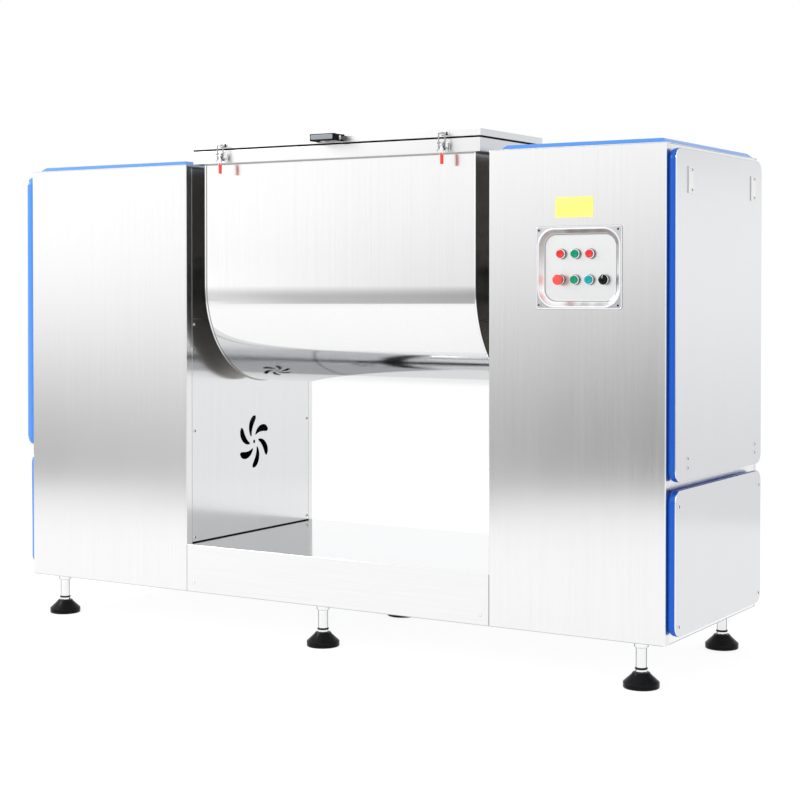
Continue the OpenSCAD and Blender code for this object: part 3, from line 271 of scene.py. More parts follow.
def blueEnamel(name, left, right, paintedLightSpan):
    # Painted light: the base colour is paler towards the left, where the large light hangs
    made = gloss(name, right, 0.3, 0.12, specular=0.22)
    # painted light: a lit tone on the left eases into the shaded tone on the right
    tone = made.mixed(made.eased(made.spot(0), *paintedLightSpan), left, right)
    patch = made.noise(7, 2, 0.5, (4, 4, 1))
    return made.shade(colour=made.mixed(patch * 0.12, tone, dimmed(right, 0.6)))


def matte(name, colour, rough=0.55, grain=1500, depth=0.00006, dust=0.04, specular=0.5):
    made = Finish(name)
    pores = made.noise(grain, 2, 0.6)
    patch = made.noise(14, 3, 0.6, (1, 6, 2))
    lighter = tuple(min(1, c + dust * 0.25) for c in colour)
    return made.shade(
        colour=made.mixed(patch * 0.7 + pores * 0.3, colour, lighter),
        rough=(patch - 0.5) * 0.16 + rough,
        metal=0.0,
        specular=specular,
        normal=made.bump(pores, depth, 0.5))


def castMetal(name, colour, rough=0.55):
    made = Finish(name)
    lumps = made.noise(260, 4, 0.65)
    stain = made.noise(11, 3, 0.6, (9, 2, 5))
    return made.shade(
        colour=made.mixed(stain, dimmed(colour, 0.75), colour),
        rough=(stain - 0.5) * 0.2 + rough,
        metal=0.6,
        normal=made.bump(lumps, 0.0004, 0.5))


def yellowFilm(name):
    made = Finish(name)
    fade = made.noise((22, 22, 30), 2, 0.5)
    fibre = made.noise(1800, 1, 0.5, (2, 2, 2))
    return made.shade(
        colour=made.mixed(fade, (0.93, 0.84, 0.14), (0.96, 0.90, 0.26)),
        rough=fibre * 0.08 + 0.40,
        metal=0.0,
        coat=0.25,
        coatRough=0.2,
        normal=made.bump(fibre, 0.00002, 0.3))


finishes = {
    "panel": brushedSteel("verticalBrushed"),
    "door": brushedSteel("doorBrushed", "Z", (0.725, 0.73, 0.745), (0.765, 0.77, 0.785)),
    "inner": brushedSteel("innerBrushed", "Z", (0.745, 0.75, 0.76), (0.785, 0.79, 0.80), 0.19),
    "beam": brushedSteel("beamBrushed", "X", rough=0.16, stretch=0),
    "beamTop": brushedSteel("beamTop", "X", (0.75, 0.755, 0.77), (0.79, 0.795, 0.81), 0.10, 0),
    "side": brushedSteel("sideBrushed", "Z", (0.88, 0.88, 0.89), (0.92, 0.92, 0.93), 0.30, 0),
    "lidSteel": brushedSteel("lidBrushed", "X", rough=0.32, stretch=0),
    "mirror": troughSteel("troughPolished", 0.16, 0.07, 1.25, 1.10, 0.55),
    "ribbonSteel": polishedSteel("ribbonSteel", 0.16),
    # painted shade: the end plates are darkened, standing in for the shade in the gaps beside the pedestals
    "endSteel": brushedSteel("endPlates", "Z", (0.40, 0.38, 0.35), (0.46, 0.435, 0.40), 0.22),
    "rimSteel": polishedSteel("rimPolished", 0.3, (0.80, 0.80, 0.80)),
    "bright": brightPlating("brightPlating"),
    "bail": brightPlating("bailPlating", (0.45, 0.455, 0.47), 0.16),
    # painted shadow: the hanger plates' side faces are darker
    "plateEdge": brushedSteel("plateEdges", "Z", (0.57, 0.57, 0.58), (0.62, 0.62, 0.63), 0.3, 0),
    # dark grey of painted shade for the sheet hems and the dish seal's shadow line, also the dark joints
    # beside the beam
    "hem": matte("hemShade", (0.30, 0.305, 0.315), 0.5, dust=0.06, specular=0.2),
    # the pans and caps carry painted light from the left
    "blue": blueEnamel("blueEnamel", (0.085, 0.285, 0.83), (0.002, 0.09, 0.52), (-1.25, 0.9)),
    "capBlue": blueEnamel("capEnamel", (0.085, 0.27, 0.72), (0.07, 0.27, 0.76), (-1.2, 1.2)),
    "rubber": matte("padRubber", (0.002, 0.0022, 0.003), 0.26, dust=0.004, specular=0.13),
    # black rubber of the gasket, also used for dark strips and discs of painted shade
    "gasket": matte("gasketRubberAndShade", (0.004, 0.004, 0.004), 0.6, dust=0.01, specular=0.05),
    "black": matte("mouldedBlack", (0.003, 0.003, 0.004), 0.4, 900, dust=0.008, specular=0.07),
    "knob": gloss("knobBlack", (0.003, 0.003, 0.003), 0.12, 0.0, 500, specular=0.16),
    "aluminium": brushedSteel("satinAluminium", "X", (0.25, 0.27, 0.30), (0.31, 0.33, 0.36), 0.36, 0),
    "seal": matte("sealWhite", (0.80, 0.79, 0.73), 0.45),
    "cast": castMetal("greyCasting", (0.10, 0.105, 0.11)),
    "drive": gloss("driveEnamel", (0.03, 0.07, 0.14), 0.4, 0.2, 300, 0.0001),
    "gear": brushedSteel("groundGear", "X", (0.34, 0.35, 0.37), (0.42, 0.43, 0.45), 0.35, 0),
    "frameSteel": matte("framePaint", (0.10, 0.11, 0.12), 0.5, 500, 0.0001),
    # grey paint of the control box, also used for the painted shadow strip under the rim
    "boxPaintAndShadow": matte("boxPaintAndShadow", (0.55, 0.56, 0.55), 0.45, 700),
    "yellow": yellowFilm("yellowFilm"),
    "red": gloss("redPlastic", (0.80, 0.020, 0.020), 0.22, 0.0, 700, specular=0.4),
    "stopRed": gloss("stopPlastic", (0.90, 0.085, 0.065), 0.26, 0.0, 700, specular=0.4),
    "green": gloss("greenPlastic", (0.0, 0.30, 0.15), 0.22, 0.0, 700, specular=0.2),
    "teal": gloss("tealPlastic", (0.0, 0.37, 0.43), 0.22, 0.0, 700, specular=0.2),
    "vinyl": gloss("vinylGrip", (0.84, 0.055, 0.03), 0.26, 0.0, 600, specular=0.45),
}
print("finishes made", len(finishes))


# Mesh tools


def meshOf(node):
    # A merged copy of a CAD node's mesh
    work = bmesh.new()
    work.from_mesh(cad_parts[node].data)
    bmesh.ops.remove_doubles(work, verts=work.verts, dist=0.00001)
    return work


def flatMesh(node):
    # The same with the triangles of each flat face joined
    work = meshOf(node)
    bmesh.ops.dissolve_limit(work, angle_limit=math.radians(0.6), verts=work.verts, edges=work.edges,
                             delimit=set())
    return work


def linked(name, work, finish):
    mesh = bpy.data.meshes.new(name)
    work.to_mesh(mesh)
    work.free()
    mesh.materials.append(finish.material)
    piece = bpy.data.objects.new(name, mesh)
    bpy.context.scene.collection.objects.link(piece)
    return piece


def addPiece(name, work, finish, body, replaced=(), smooth=35, weighted=True, trim=None):
    # trim is a second finish and a test of the normals of the faces that take it
    piece = linked(name, work, finishes[finish])
    mesh = piece.data
    if trim:
        mesh.materials.append(finishes[trim[0]].material)
        for face in mesh.polygons:
            face.material_index = int(trim[1](face.normal))
    mesh.polygons.foreach_set("use_smooth", [True] * len(mesh.polygons))
    mesh.set_sharp_from_angle(angle=math.radians(smooth))
    if weighted:
        modifier = piece.modifiers.new("evenNormals", "WEIGHTED_NORMAL")
        modifier.keep_sharp = True
        modifier.weight = 80
    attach(piece, body)
    if replaced:
        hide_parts(*replaced)


def closeUp(work):
    bmesh.ops.remove_doubles(work, verts=work.verts, dist=0.000005)
    bmesh.ops.recalc_face_normals(work, faces=work.faces)


def addTurned(name, work, finish, body, replaced=(), smooth=35):
    # A piece of spun shapes
    closeUp(work)
    addPiece(name, work, finish, body, replaced, smooth, False)


def rounded(work, edges, width, segments=5):
    bmesh.ops.bevel(work, geom=edges, offset=width, offset_type="OFFSET", segments=segments, profile=0.5,
                    affect="EDGES", clamp_overlap=True, material=-1)


def bevelEdges(work, width, segments=2, least=25, length=0):
    # Short edges, as around screw holes, would hold the width of all the others down
    sharp = [edge for edge in work.edges if len(edge.link_faces) == 2 and edge.calc_length() > length
             and edge.calc_face_angle(0) > math.radians(least)]
    if sharp:
        rounded(work, sharp, width, segments)
    bmesh.ops.remove_doubles(work, verts=work.verts, dist=0.000005)


def softened(node, width, segments=2, least=25):
    # The node's shape with its folds and edges rounded
    work = flatMesh(node)
    bevelEdges(work, width, segments, least)
    return work


def runsAlong(edge, axis):
    return abs((edge.verts[0].co - edge.verts[1].co).normalized()[axis]) > 0.99


def block(work, first, last):
    # A box between two corners
    size = [abs(b - a) for a, b in zip(first, last)]
    centre = [(a + b) / 2 for a, b in zip(first, last)]
    bmesh.ops.create_cube(work, size=1, matrix=Matrix.Translation(centre) @ Matrix.Diagonal((*size, 1)))


def islandsOf(node):
    # Each solid of a node as a list of its points
    work = meshOf(node)
    left = set(work.verts)
    found = []
    while left:
        queue = [left.pop()]
        points = []
        while queue:
            vert = queue.pop()
            points.append(vert.co.copy())
            for edge in vert.link_edges:
                other = edge.other_vert(vert)
                if other in left:
                    left.remove(other)
                    queue.append(other)
        found.append(points)
    work.free()
    return sorted(found, key=lambda points: [round(v, 4) for v in sum(points, Vector()) / len(points)])


def boxOf(points):
    low = Vector([min(p[i] for p in points) for i in range(3)])
    high = Vector([max(p[i] for p in points) for i in range(3)])
    return low, high


def solidBoxes(node):
    return [boxOf(points) for points in islandsOf(node)]


def midway(low, high, axis, value):
    # The middle of a box, but with one coordinate given
    spot = (low + high) / 2
    spot[axis] = value
    return spot


outward = (0, -1, 0)  # from the machine's front


def turnedTo(axis):
    # Rotation that takes +Z to the axis
    return Vector(axis).to_track_quat("Z", "Y").to_matrix().to_4x4()


def revolved(work, profile, base, axis=(0, 0, 1), steps=48):
    # Spins a profile of (radius, height) pairs in millimetres about an axis through base
    before = set(work.verts)
    verts = [work.verts.new((radius / 1000, 0, height / 1000)) for radius, height in profile]
    edges = [work.edges.new(pair) for pair in zip(verts, verts[1:])]
    bmesh.ops.spin(work, geom=verts + edges, cent=(0, 0, 0), axis=(0, 0, 1), angle=math.tau,
                   steps=steps, use_merge=True)
    fresh = [vert for vert in work.verts if vert not in before]
    bmesh.ops.transform(work, verts=fresh, matrix=Matrix.Translation(base) @ turnedTo(axis))


def roundedRing(width, height, radius, inset, depth, steps=10, least=0.0004):
    # Points of a rounded rectangle in (u, v), whose first corner is the origin
    left, right, low, high = inset, width - inset, inset, height - inset
    r = max(radius - inset, least)
    corners = ((right - r, high - r), (left + r, high - r), (left + r, low + r), (right - r, low + r))
    points = []
    for k, (u, v) in enumerate(corners):
        for i in range(steps + 1):
            angle = math.pi / 2 * (k + i / steps)
            points.append((u + r * math.cos(angle), v + r * math.sin(angle), depth))
    return points


def lofted(work, rings, placed, closed=False):
    # Extrudes the first ring through the others; placed turns (u, v, depth) into a point in the frame
    verts = [work.verts.new(placed(*point)) for point in rings[0]]
    edges = [work.edges.new(pair) for pair in zip(verts, verts[1:] + verts[:1])]
    if not closed:
        bmesh.ops.contextual_create(work, geom=edges)
    for ring in rings[1:] + (rings[:1] if closed else []):
        made = bmesh.ops.extrude_edge_only(work, edges=edges)["geom"]
        fresh = {item for item in made if isinstance(item, bmesh.types.BMVert)}
        edges = [item for item in made
                 if isinstance(item, bmesh.types.BMEdge) and fresh.issuperset(item.verts)]
        verts = [next(end for end in (edge.other_vert(vert) for edge in vert.link_edges) if end in fresh)
                 for vert in verts]
        for vert, point in zip(verts, ring):
            vert.co = placed(*point)
    if not closed:
        bmesh.ops.contextual_create(work, geom=edges)


def quarter(radius, steps):
    # (share along, share across) pairs of a quarter circle
    turns = [math.pi / 2 * i / steps for i in range(steps + 1)]
    return [(radius * (1 - math.sin(turn)), radius * (1 - math.cos(turn))) for turn in turns]


def dress(finish, *nodes):
    for name in nodes:
        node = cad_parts[name]
        if not node.material_slots:
            node.data.materials.append(None)
        for place in node.material_slots:
            place.material = finishes[finish].material


# Sheet metal: the CAD shapes with rounded folds

sheetWork = {
    # node: (finish, slot, body, fold radius)
    "front_panels": ("panel", "brushed", "base", 0.0026),
    "rear_panels": ("panel", "brushed", "base", 0.0016),
    "outer_panels": ("side", "brushed", "base", 0.0006),
    "inner_panels": ("inner", "brushed", "base", 0.0006),
    "vent_covers": ("inner", "brushed", "base", 0.0006),
    "top_panels": ("beam", "brushed", "base", 0.0008),
    "base_cover": ("beam", "brushed", "base", 0.0016),
    "top_caps": ("capBlue", "blue_paint", "base", 0.0022),
    "hanger_plates": ("panel", "brushed", "base", 0.0009),
    "trough_shell": ("mirror", "mirror_steel", "trough", 0.0006),
    "trough_ends": ("endSteel", "mirror_steel", "trough", 0.0012),
    "trough_rim": ("rimSteel", "mirror_steel", "trough", 0.0015),
    "rear_cover": ("lidSteel", "mirror_steel", "trough", 0.0008),
    "lid_panel": ("lidSteel", "mirror_steel", "lid", 0.0016),
    "rim_gasket": ("gasket", "gasket_rubber", "trough", 0.0012),
    "lower_hinges": ("bright", "bright_steel", "trough", 0.0005),
    "upper_hinges": ("bright", "bright_steel", "lid", 0.0005),
    "foot_nuts": ("bright", "bright_steel", "base", 0.001),
    "clamp_keepers": ("bright", "bright_steel", "lid", 0.0005),
    "handle_frame": ("black", "black_plastic", "lid", 0.0036),
    "handle_facing": ("aluminium", "aluminium", "lid", 0.0012),
    "label_plate": ("yellow", "yellow_plate", "base", 0.0002),
}


def pieceName(node):
    words = node.split("_")
    return words[0] + "".join(word.title() for word in words[1:])


trims = {
    # node: (second finish, test of the normals that take it)
    "base_cover": ("beamTop", lambda normal: normal.z > 0.9),
    # the hanger plates' side faces take a darker steel: painted shadow along the plates' edges
    "hanger_plates": ("plateEdge", lambda normal: abs(normal.x) < 0.35),
    # the end plates' rims keep the bright plating, beside the painted shade of their darkened faces
    "trough_ends": ("bright", lambda normal: abs(normal.x) < 0.9),
}

frontShape = {
    "wider": 0.0024,  # at the right edge
    "fold": 0.007,
    "least": 0.5,  # length of the edges that are folds
}

handleShape = {
    "rise": 0.0035,  # how much higher the handle stands than the CAD's
    "facing": (0.97, 1, 0.94),  # scale
    "facingLift": 0.0007,
    "facingRound": 0.0042,
    "foot": [(0, 0), (7.5, 0), (7.5, 5), (6.45, 8), (3.75, 10), (0, 10)],
    "footOut": 0.0015,
    "footDown": 0.002,
}


def foldCorners(work, front, shape):
    # Rounds the long upright edges along the front face
    upright = [edge for edge in work.edges if len(edge.link_faces) == 2 and runsAlong(edge, 2)
               and all(abs(vert.co.y - front) < 0.0002 for vert in edge.verts)
               and edge.calc_face_angle(0) > 1 and edge.calc_length() > shape["least"]]
    rounded(work, upright, shape["fold"], 6)


def makeSheetWork(front, handle):
    for node, (finish, slot, body, fold) in sheetWork.items():
        work = flatMesh(node)
        low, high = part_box(node)
        if node == "front_panels":
            right = [vert for vert in work.verts if vert.co.x > high.x - 0.001]
            bmesh.ops.translate(work, vec=(front["wider"], 0, 0), verts=right)
            foldCorners(work, low.y, front)
        if node == "handle_facing":
            bmesh.ops.scale(work, vec=handle["facing"], space=Matrix.Translation(-(low + high) / 2),
                            verts=work.verts)
            bmesh.ops.translate(work, vec=(0, 0, handle["facingLift"]), verts=work.verts)
            rounded(work, [edge for edge in work.edges if runsAlong(edge, 1)], handle["facingRound"], 4)
        if node.startswith("handle"):
            bmesh.ops.translate(work, vec=(0, 0, handle["rise"]), verts=work.verts)
        bevelEdges(work, fold, length=0.02 if slot == "brushed" else 0)
        addPiece(pieceName(node), work, finish, body, [node], trim=trims.get(node))


def makeHandleFeet(shape):
    # Rounded screw feet beside the handle's legs
    low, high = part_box("handle_frame")
    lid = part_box("lid_panel")[0].y
    height = (low.z + high.z) / 2 + shape["rise"] - shape["footDown"]
    work = bmesh.new()
    for x in (low.x - shape["footOut"], high.x + shape["footOut"]):
        revolved(work, shape["foot"], (x, lid, height), outward, 32)
    addTurned("handleFeet", work, "cast", "lid", smooth=40)


makeSheetWork(frontShape, handleShape)
makeHandleFeet(handleShape)


stripShape = {
    # height and how far it stands out
    "beam": (0.0036, 0.0012),
    "rim": (0.0034, 0.0008),
    "hem": (0.0012, 0.0004),
    "hemEnd": 0.004,  # from the corners
    "sunk": 0.001,
    "jointHalf": 0.0006,
}


def addStrips(name, boxes, proud, finish, body):
    work = bmesh.new()
    for first, last in boxes:
        block(work, first, last)
    bevelEdges(work, proud / 4, 1)
    addPiece(name, work, finish, body)


def makeSeamShadows(shape):
    # Dark strips of painted shadow along the seams where the inner side sheets stand on the beam cover
    height, proud = shape["beam"]
    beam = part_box("base_cover")[1].z
    boxes = []
    for low, high in solidBoxes("vent_covers"):
        face, side = (high.x, 1) if high.x < 0 else (low.x, -1)
        boxes.append(((face, low.y, beam), (face + side * proud, high.y, beam + height)))
    addStrips("panelSeams", boxes, proud, "gasket", "base")
    # A grey strip of painted shadow under the rim along the trough's front
    height, proud = shape["rim"]
    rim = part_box("trough_rim")[0].z
    low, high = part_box("trough_shell")
    boxes = [((low.x, low.y - proud, rim - height), (high.x, low.y, rim))]
    addStrips("rimSeam", boxes, proud, "boxPaintAndShadow", "trough")


def makeHems(shape):
    # Painted shade: dark strips along the lower hems of the front and side sheets; and the dark joints beside
    # the beam
    height, proud = shape["hem"]
    end, sunk, half = shape["hemEnd"], shape["sunk"], shape["jointHalf"]
    low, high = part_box("front_panels")
    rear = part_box("rear_panels")[1].y
    beamLow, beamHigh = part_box("base_cover")
    top = low.z + height
    boxes = [((low.x + end, low.y - proud, low.z), (high.x - end, low.y + sunk, top))]
    boxes += [((face + side * proud, low.y + end, low.z), (face - side * sunk, rear - sunk, top))
              for side, face in ((-1, low.x), (1, high.x))]
    boxes += [((x - half, low.y - proud, top), (x + half, low.y + sunk, beamHigh.z - sunk))
              for x in (beamLow.x, beamHigh.x)]
    addStrips("sheetHems", boxes, proud, "hem", "base")


makeSeamShadows(stripShape)
makeHems(stripShape)
print("sheet work done")


# Doors: a blue pan with a round edge against the body, and a steel skin

doorShape = {
    "corner": 0.033,
    "backRound": 0.020,
    "frontRound": 0.0012,
    "skinRound": 0.0009,
    "wall": 0.003,
    "shallow": 0.015,  # pans below this depth take a smaller round
    "upperFrom": 1.4,
    "lower": 0.0025,  # the upper doors' top
    "longer": 0.007,  # the right lower door's bottom
}


def sideways(low, side, face):
    # Places (u, v, depth) with u along y, v along z and depth outward from the body's side
    def placed(u, v, depth):
        return (face + side * depth, low.y + u, low.z + v)
    return placed


def makeDoors(shape):
    bodyLow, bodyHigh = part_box("front_panels")
    trays = bmesh.new()
    skins = bmesh.new()
    for node, work in (("door_trays", trays), ("door_skins", skins)):
        for low, high in solidBoxes(node):
            side = 1 if low.x > 0 else -1
            if high.z > shape["upperFrom"]:
                high.z -= shape["lower"]
            elif side > 0:
                low.z -= shape["longer"]
            depth, width, height = high - low
            if work is trays:
                placed = sideways(low, side, bodyHigh.x if side > 0 else bodyLow.x)
                back = shape["backRound"] if depth > shape["shallow"] else depth * 0.35
                wall = shape["wall"]
                insets = [(back + wall, depth - wall), (back + wall, 0), *quarter(back, 9)]
                insets += [(across, depth - along) for along, across in quarter(shape["frontRound"], 3)]
            else:
                placed = sideways(low, side, low.x if side > 0 else high.x)
                r = shape["skinRound"]
                insets = quarter(r, 2) + [(across, depth - along) for along, across in quarter(r, 3)]
            lofted(work, [roundedRing(width, height, shape["corner"], *pair) for pair in insets], placed)
    closeUp(trays)
    closeUp(skins)
    # the skins' edge faces take the bright plating: a polished edge, lightened as a painted highlight line
    edges = ("bright", lambda normal: abs(normal.x) < 0.8)
    addPiece("doorTrays", trays, "blue", "base", ["door_trays"], 30)
    addPiece("doorSkins", skins, "door", "base", ["door_skins"], 30, trim=edges)


makeDoors(doorShape)
print("doors done")


# Control panel: a pressed dish with a rolled mouth in a flange with a beaded edge

dishShape = {
    # in millimetres; bead and wall are inset and depth of the outer edge, and of the mouth and wall
    "sealOut": 0.8,
    "sealIn": 4,
    "edge": 8,
    "mouthCorner": 50,
    "corner": 9,
    "sheet": 2,
    "bead": [(0, 2.0), (0, 0.5), (0.4, -0.4), (1.2, -0.9), (2.2, -0.6), (3.0, 0.1), (3.4, 0.3)],
    "wall": [(-3.4, 0.3), (-2.8, -0.4), (-1.8, -1.0), (-0.6, -1.1), (0.5, -0.7), (1.5, 0.3), (2.8, 2.3),
             (5.2, 5.4), (8.0, 8.6), (10.6, 11.2), (12.8, 13.0), (14.6, 14.1), (16.4, 14.75), (18.2, 15.0)],
    # tones of the painted light and shade by depth
    "bright": (0.93, 0.93, 0.93),
    "flange": (0.60, 0.61, 0.64),
    "line": (0.24, 0.24, 0.25),
    "floor": (0.92, 0.925, 0.93),
    "upperWall": (0.42, 0.40, 0.385),
}


def dishFinish(shape, low, high):
    # Painted light and shade by depth: bright lips as painted highlights, a grey flange, walls with painted
    # shade that darkens upward, a dark line of painted shadow at the floor
    made = Finish("dishSteel")
    depth = (made.spot(1) - low.y) * 1000
    strokes = made.noise(grainScale("X", 700, 5), 2, 0.5)

    def byDepth(*stops):
        return made.ramp((depth + 2) / 18, *(((mm + 2) / 18, tone) for mm, tone in stops))

    bright, flange, dark, floor = shape["bright"], shape["flange"], shape["line"], shape["floor"]
    # painted highlights on the lips, painted shadow at the floor's edge
    flat = byDepth((-0.5, bright), (-0.1, flange), (0.6, flange), (1.4, bright), (12.9, bright), (13.6, dark),
                   (14.5, dark), (14.85, floor))
    wall = byDepth((0.5, (0, 0, 0)), (1.6, (1, 1, 1)), (12.4, (1, 1, 1)), (13.2, (0, 0, 0)))
    upwardShade = made.eased(made.spot(2), low.z + 0.05, high.z - 0.03)
    tones = made.mixed(wall, flat, made.mixed(upwardShade, bright, shape["upperWall"]))
    return made.shade(
        colour=made.mixed(strokes * 0.12, tones, (0.55, 0.55, 0.55)),
        rough=strokes * 0.06 + 0.29,
        metal=1.0,
        normal=made.bump(strokes, 0.00001, 0.3))


def makeDish(shape):
    low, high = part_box("control_panel")
    finishes["dish"] = dishFinish(shape, low, high)
    size = (high - low) * 1000
    edge, sheet = shape["edge"], shape["sheet"]

    def placed(u, v, depth):
        return low + Vector((u, depth, v)) / 1000

    def outer(inset, depth):
        return roundedRing(size.x, size.z, shape["corner"], inset, depth, 12)

    def inner(inset, depth):
        ring = roundedRing(size.x - 2 * edge, size.z - 2 * edge, shape["mouthCorner"], inset, depth, 12)
        return [(u + edge, v + edge, d) for u, v, d in ring]

    front = [outer(*pair) for pair in shape["bead"]] + [inner(*pair) for pair in shape["wall"]]
    back = [inner(inset, depth + sheet) for inset, depth in shape["wall"][:4:-1]]
    work, seal = bmesh.new(), bmesh.new()
    lofted(work, [*back, outer(2, sheet), *front], placed)
    # a seal ring in the dark grey of the hems, peeking out around the flange, that also paints the flange's
    # shadow line
    out, within = -shape["sealOut"], shape["sealIn"]
    corners = ((out, sheet * 0.55), (out, sheet), (within, sheet), (within, sheet * 0.55))
    lofted(seal, [outer(*corner) for corner in corners], placed, True)
    closeUp(work)
    closeUp(seal)
    addPiece("dishSealShadow", seal, "hem", "base", smooth=40)
    addPiece("controlDish", work, "dish", "base", ["control_panel"], 50)


makeDish(dishShape)
print("control panel done")


# Screws: pan heads whose sockets hold a black disc of painted shade, where the CAD has its screws

screwShape = {
    "dome": 0.35,  # share of the height
    "recess": 0.76,  # share of the radius
    # front-facing screws below this height get no painted socket shade
    "plainBelow": 0.5,  # the beam's front screws, below this height, have no socket
}


def screwPlaces():
    # Seat, direction, radius and height of each head, the last two in millimetres
    found = []
    for points in islandsOf("panel_screws"):
        low, high = boxOf(points)
        centre = (low + high) / 2
        size = high - low
        axis = 0 if abs(size.y - size.z) < 0.0003 else 1
        across = [i for i in range(3) if i != axis]
        radius = max(size[i] for i in across) / 2
        heads = [p[axis] for p in points
                 if math.hypot(*(p[i] - centre[i] for i in across)) > radius * 0.9]
        side = 1 if sum(heads) / len(heads) > centre[axis] else -1
        seat = midway(low, high, axis, min(heads) if side > 0 else max(heads))
        way = Vector((0, 0, 0))
        way[axis] = side
        found.append((seat, way, radius * 1000, (max(heads) - min(heads)) * 1000))
    return found


def makeScrews(shape):
    work, socketShades = bmesh.new(), bmesh.new()
    for seat, way, radius, height in screwPlaces():
        rim = height * (1 - shape["dome"])
        recess = radius * shape["recess"]
        floor = height * 0.4
        profile = [(0, 0), (radius, 0), (radius, rim * 0.6), (radius * 0.93, rim),
                   (radius * 0.78, height * 0.95), (recess * 1.1, height), (recess, height - 0.3),
                   (recess, floor), (0, floor)]
        revolved(work, profile, seat, way, 20)
        # black discs of painted shade inside the sockets
        if way.y > -0.5 or seat.z > shape["plainBelow"]:
            side, low, high = recess * 0.995, height * 0.45, height * 0.98
            revolved(socketShades, [(0, low), (side, low), (side, high), (0, high)], seat, way, 6)
    addTurned("screwSocketShades", socketShades, "gasket", "base")
    addTurned("panelScrews", work, "bright", "base", ["panel_screws"])


makeScrews(screwShape)
print("screws done")


# Levelling feet

footShape = {
    "pad": [(0, 0), (48, 0), (50.6, 0.8), (51.6, 2.2), (52, 4), (52, 7.2), (51.2, 8), (51.2, 9), (52, 9.8),
            (52, 16.6), (51.6, 17.4), (50.8, 18), (27.4, 39.6), (26.8, 40.6), (25.6, 43), (24, 44.6),
            (22, 45), (0, 45)],
    "ring": [(0, 52.6), (17.6, 52.6), (18.3, 53.4), (18.3, 56.6), (17.6, 57.4), (0, 57.4)],
    "sleeve": [(0, 55), (14.6, 55), (15.5, 57.4), (15.5, 125), (16, 126), (0, 126)],
    "collar": [(0, 115), (18.4, 115), (19.6, 116), (20, 117.2), (20, 134.8), (19.6, 136), (0, 136)],
}


def makeFeet(shape):
    pads, rings, stems, collars = bmesh.new(), bmesh.new(), bmesh.new(), bmesh.new()
    for low, high in solidBoxes("foot_pads"):
        base = midway(low, high, 2, low.z)
        revolved(pads, shape["pad"], base, steps=64)
        revolved(rings, shape["ring"], base, steps=40)
        revolved(stems, shape["sleeve"], base)
        revolved(collars, shape["collar"], base)
    addTurned("footCollars", collars, "bright", "base", smooth=30)
    addTurned("footPads", pads, "rubber", "base", ["foot_pads"], 40)
    addTurned("footRings", rings, "rubber", "base", smooth=40)
    addTurned("footStems", stems, "bright", "base", ["foot_stems"], 30)


makeFeet(footShape)
print("feet done")


# Controls

controlShape = {
    # in millimetres
    "stem": 4,
    "neck": 9,
    "capDish": 0.7,  # hollow in a push button's face
    "capRound": 1.2,
    "bezelLip": 0.9,
    "bezelFront": 2.6,
    "knobHigh": 10,
    "knobShare": 0.90,  # of the ring's radius
    "dome": [(0.985, 3.6), (0.93, 5.4), (0.83, 7.2), (0.69, 8.6), (0.5, 9.5), (0.27, 9.95), (0, 10.1)],
    "flutes": 16,
    "fluteShare": 0.022,
    "pointer": 1.4,
}

buttonFinish = {
    "button_top_left": "red", "button_top_middle": "green", "button_top_right": "red",
    "button_low_middle": "green", "button_low_right": "teal",
}


def roundControl(node):
    # The middle of a control's back, and its radius and length in millimetres
    low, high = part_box(node)
    return midway(low, high, 1, high.y), (high.x - low.x) * 500, (high.y - low.y) * 1000


def awayFrom(back, points):
    # Radius and height of the points, in millimetres
    return [(math.hypot(p.x - back.x, p.z - back.z) * 1000, (back.y - p.y) * 1000) for p in points]


def shoulder(node, back, least, most=math.inf):
    # Height of the first points between two radii
    return min(height for points in islandsOf(node) for radius, height in awayFrom(back, points)
               if least < radius < most)


def makeButtons(shape):
    stem, r, hollow = shape["stem"], shape["capRound"], shape["capDish"]
    for node, finish in buttonFinish.items():
        back, radius, length = roundControl(node)
        seat = shoulder(node, back, radius * 0.9)
        profile = [(0, 0), (stem, 0), (stem, seat), (radius, seat), (radius, length - r * 1.4),
                   (radius - r * 0.3, length - r * 0.5), (radius - r, length), (radius - r * 2.2, length),
                   (radius - r * 3.2, length - hollow), (0, length - hollow * 1.3)]
        work = bmesh.new()
        revolved(work, profile, back, outward)
        addTurned(pieceName(node), work, finish, node + "_part", [node])


def makeBezels(shape):
    work, collars = bmesh.new(), bmesh.new()
    lip = shape["bezelLip"]
    for points in islandsOf("button_bezels"):
        low, high = boxOf(points)
        back = midway(low, high, 1, high.y)
        away = awayFrom(back, points)
        length = (high.y - low.y) * 1000
        outer = (high.x - low.x) * 500
        barrel = max(r for r, h in away if h < 1)
        head = min(h for r, h in away if r > outer * 0.95)
        seat = min(r for r, h in away if h > length - 0.5)
        bore = min(r for r, h in away)
        web = min(h for r, h in away if abs(r - seat) < 0.3)
        step = length - shape["bezelFront"]
        profile = [(bore, 0), (barrel, 0), (barrel, head), (outer - 1.2, head), (outer - 1.2, step),
                   (outer - lip * 0.3, step), (outer, step + lip * 0.3), (outer, length - lip * 1.4),
                   (outer - lip * 0.4, length - lip * 0.5), (outer - lip * 1.1, length),
                   (seat + lip * 0.5, length), (seat, length - lip * 0.6), (seat, web), (bore, web),
                   (bore, 0)]
        revolved(work, profile, back, outward)
        # dark collars behind the bezels: a collar whose dark paint also stands in for the shade at the
        # bezels' sides
        revolved(collars, [(outer - 2, head), (outer + 0.6, head), (outer + 0.6, head + 1.2),
                           (outer - 0.2, head + 1.8), (outer - 0.2, step - 0.2), (outer - 2, step - 0.2),
                           (outer - 2, head)], back, outward)
    addTurned("bezelCollarsAndShade", collars, "frameSteel", "base")
    addTurned("buttonBezels", work, "bright", "base", ["button_bezels"])


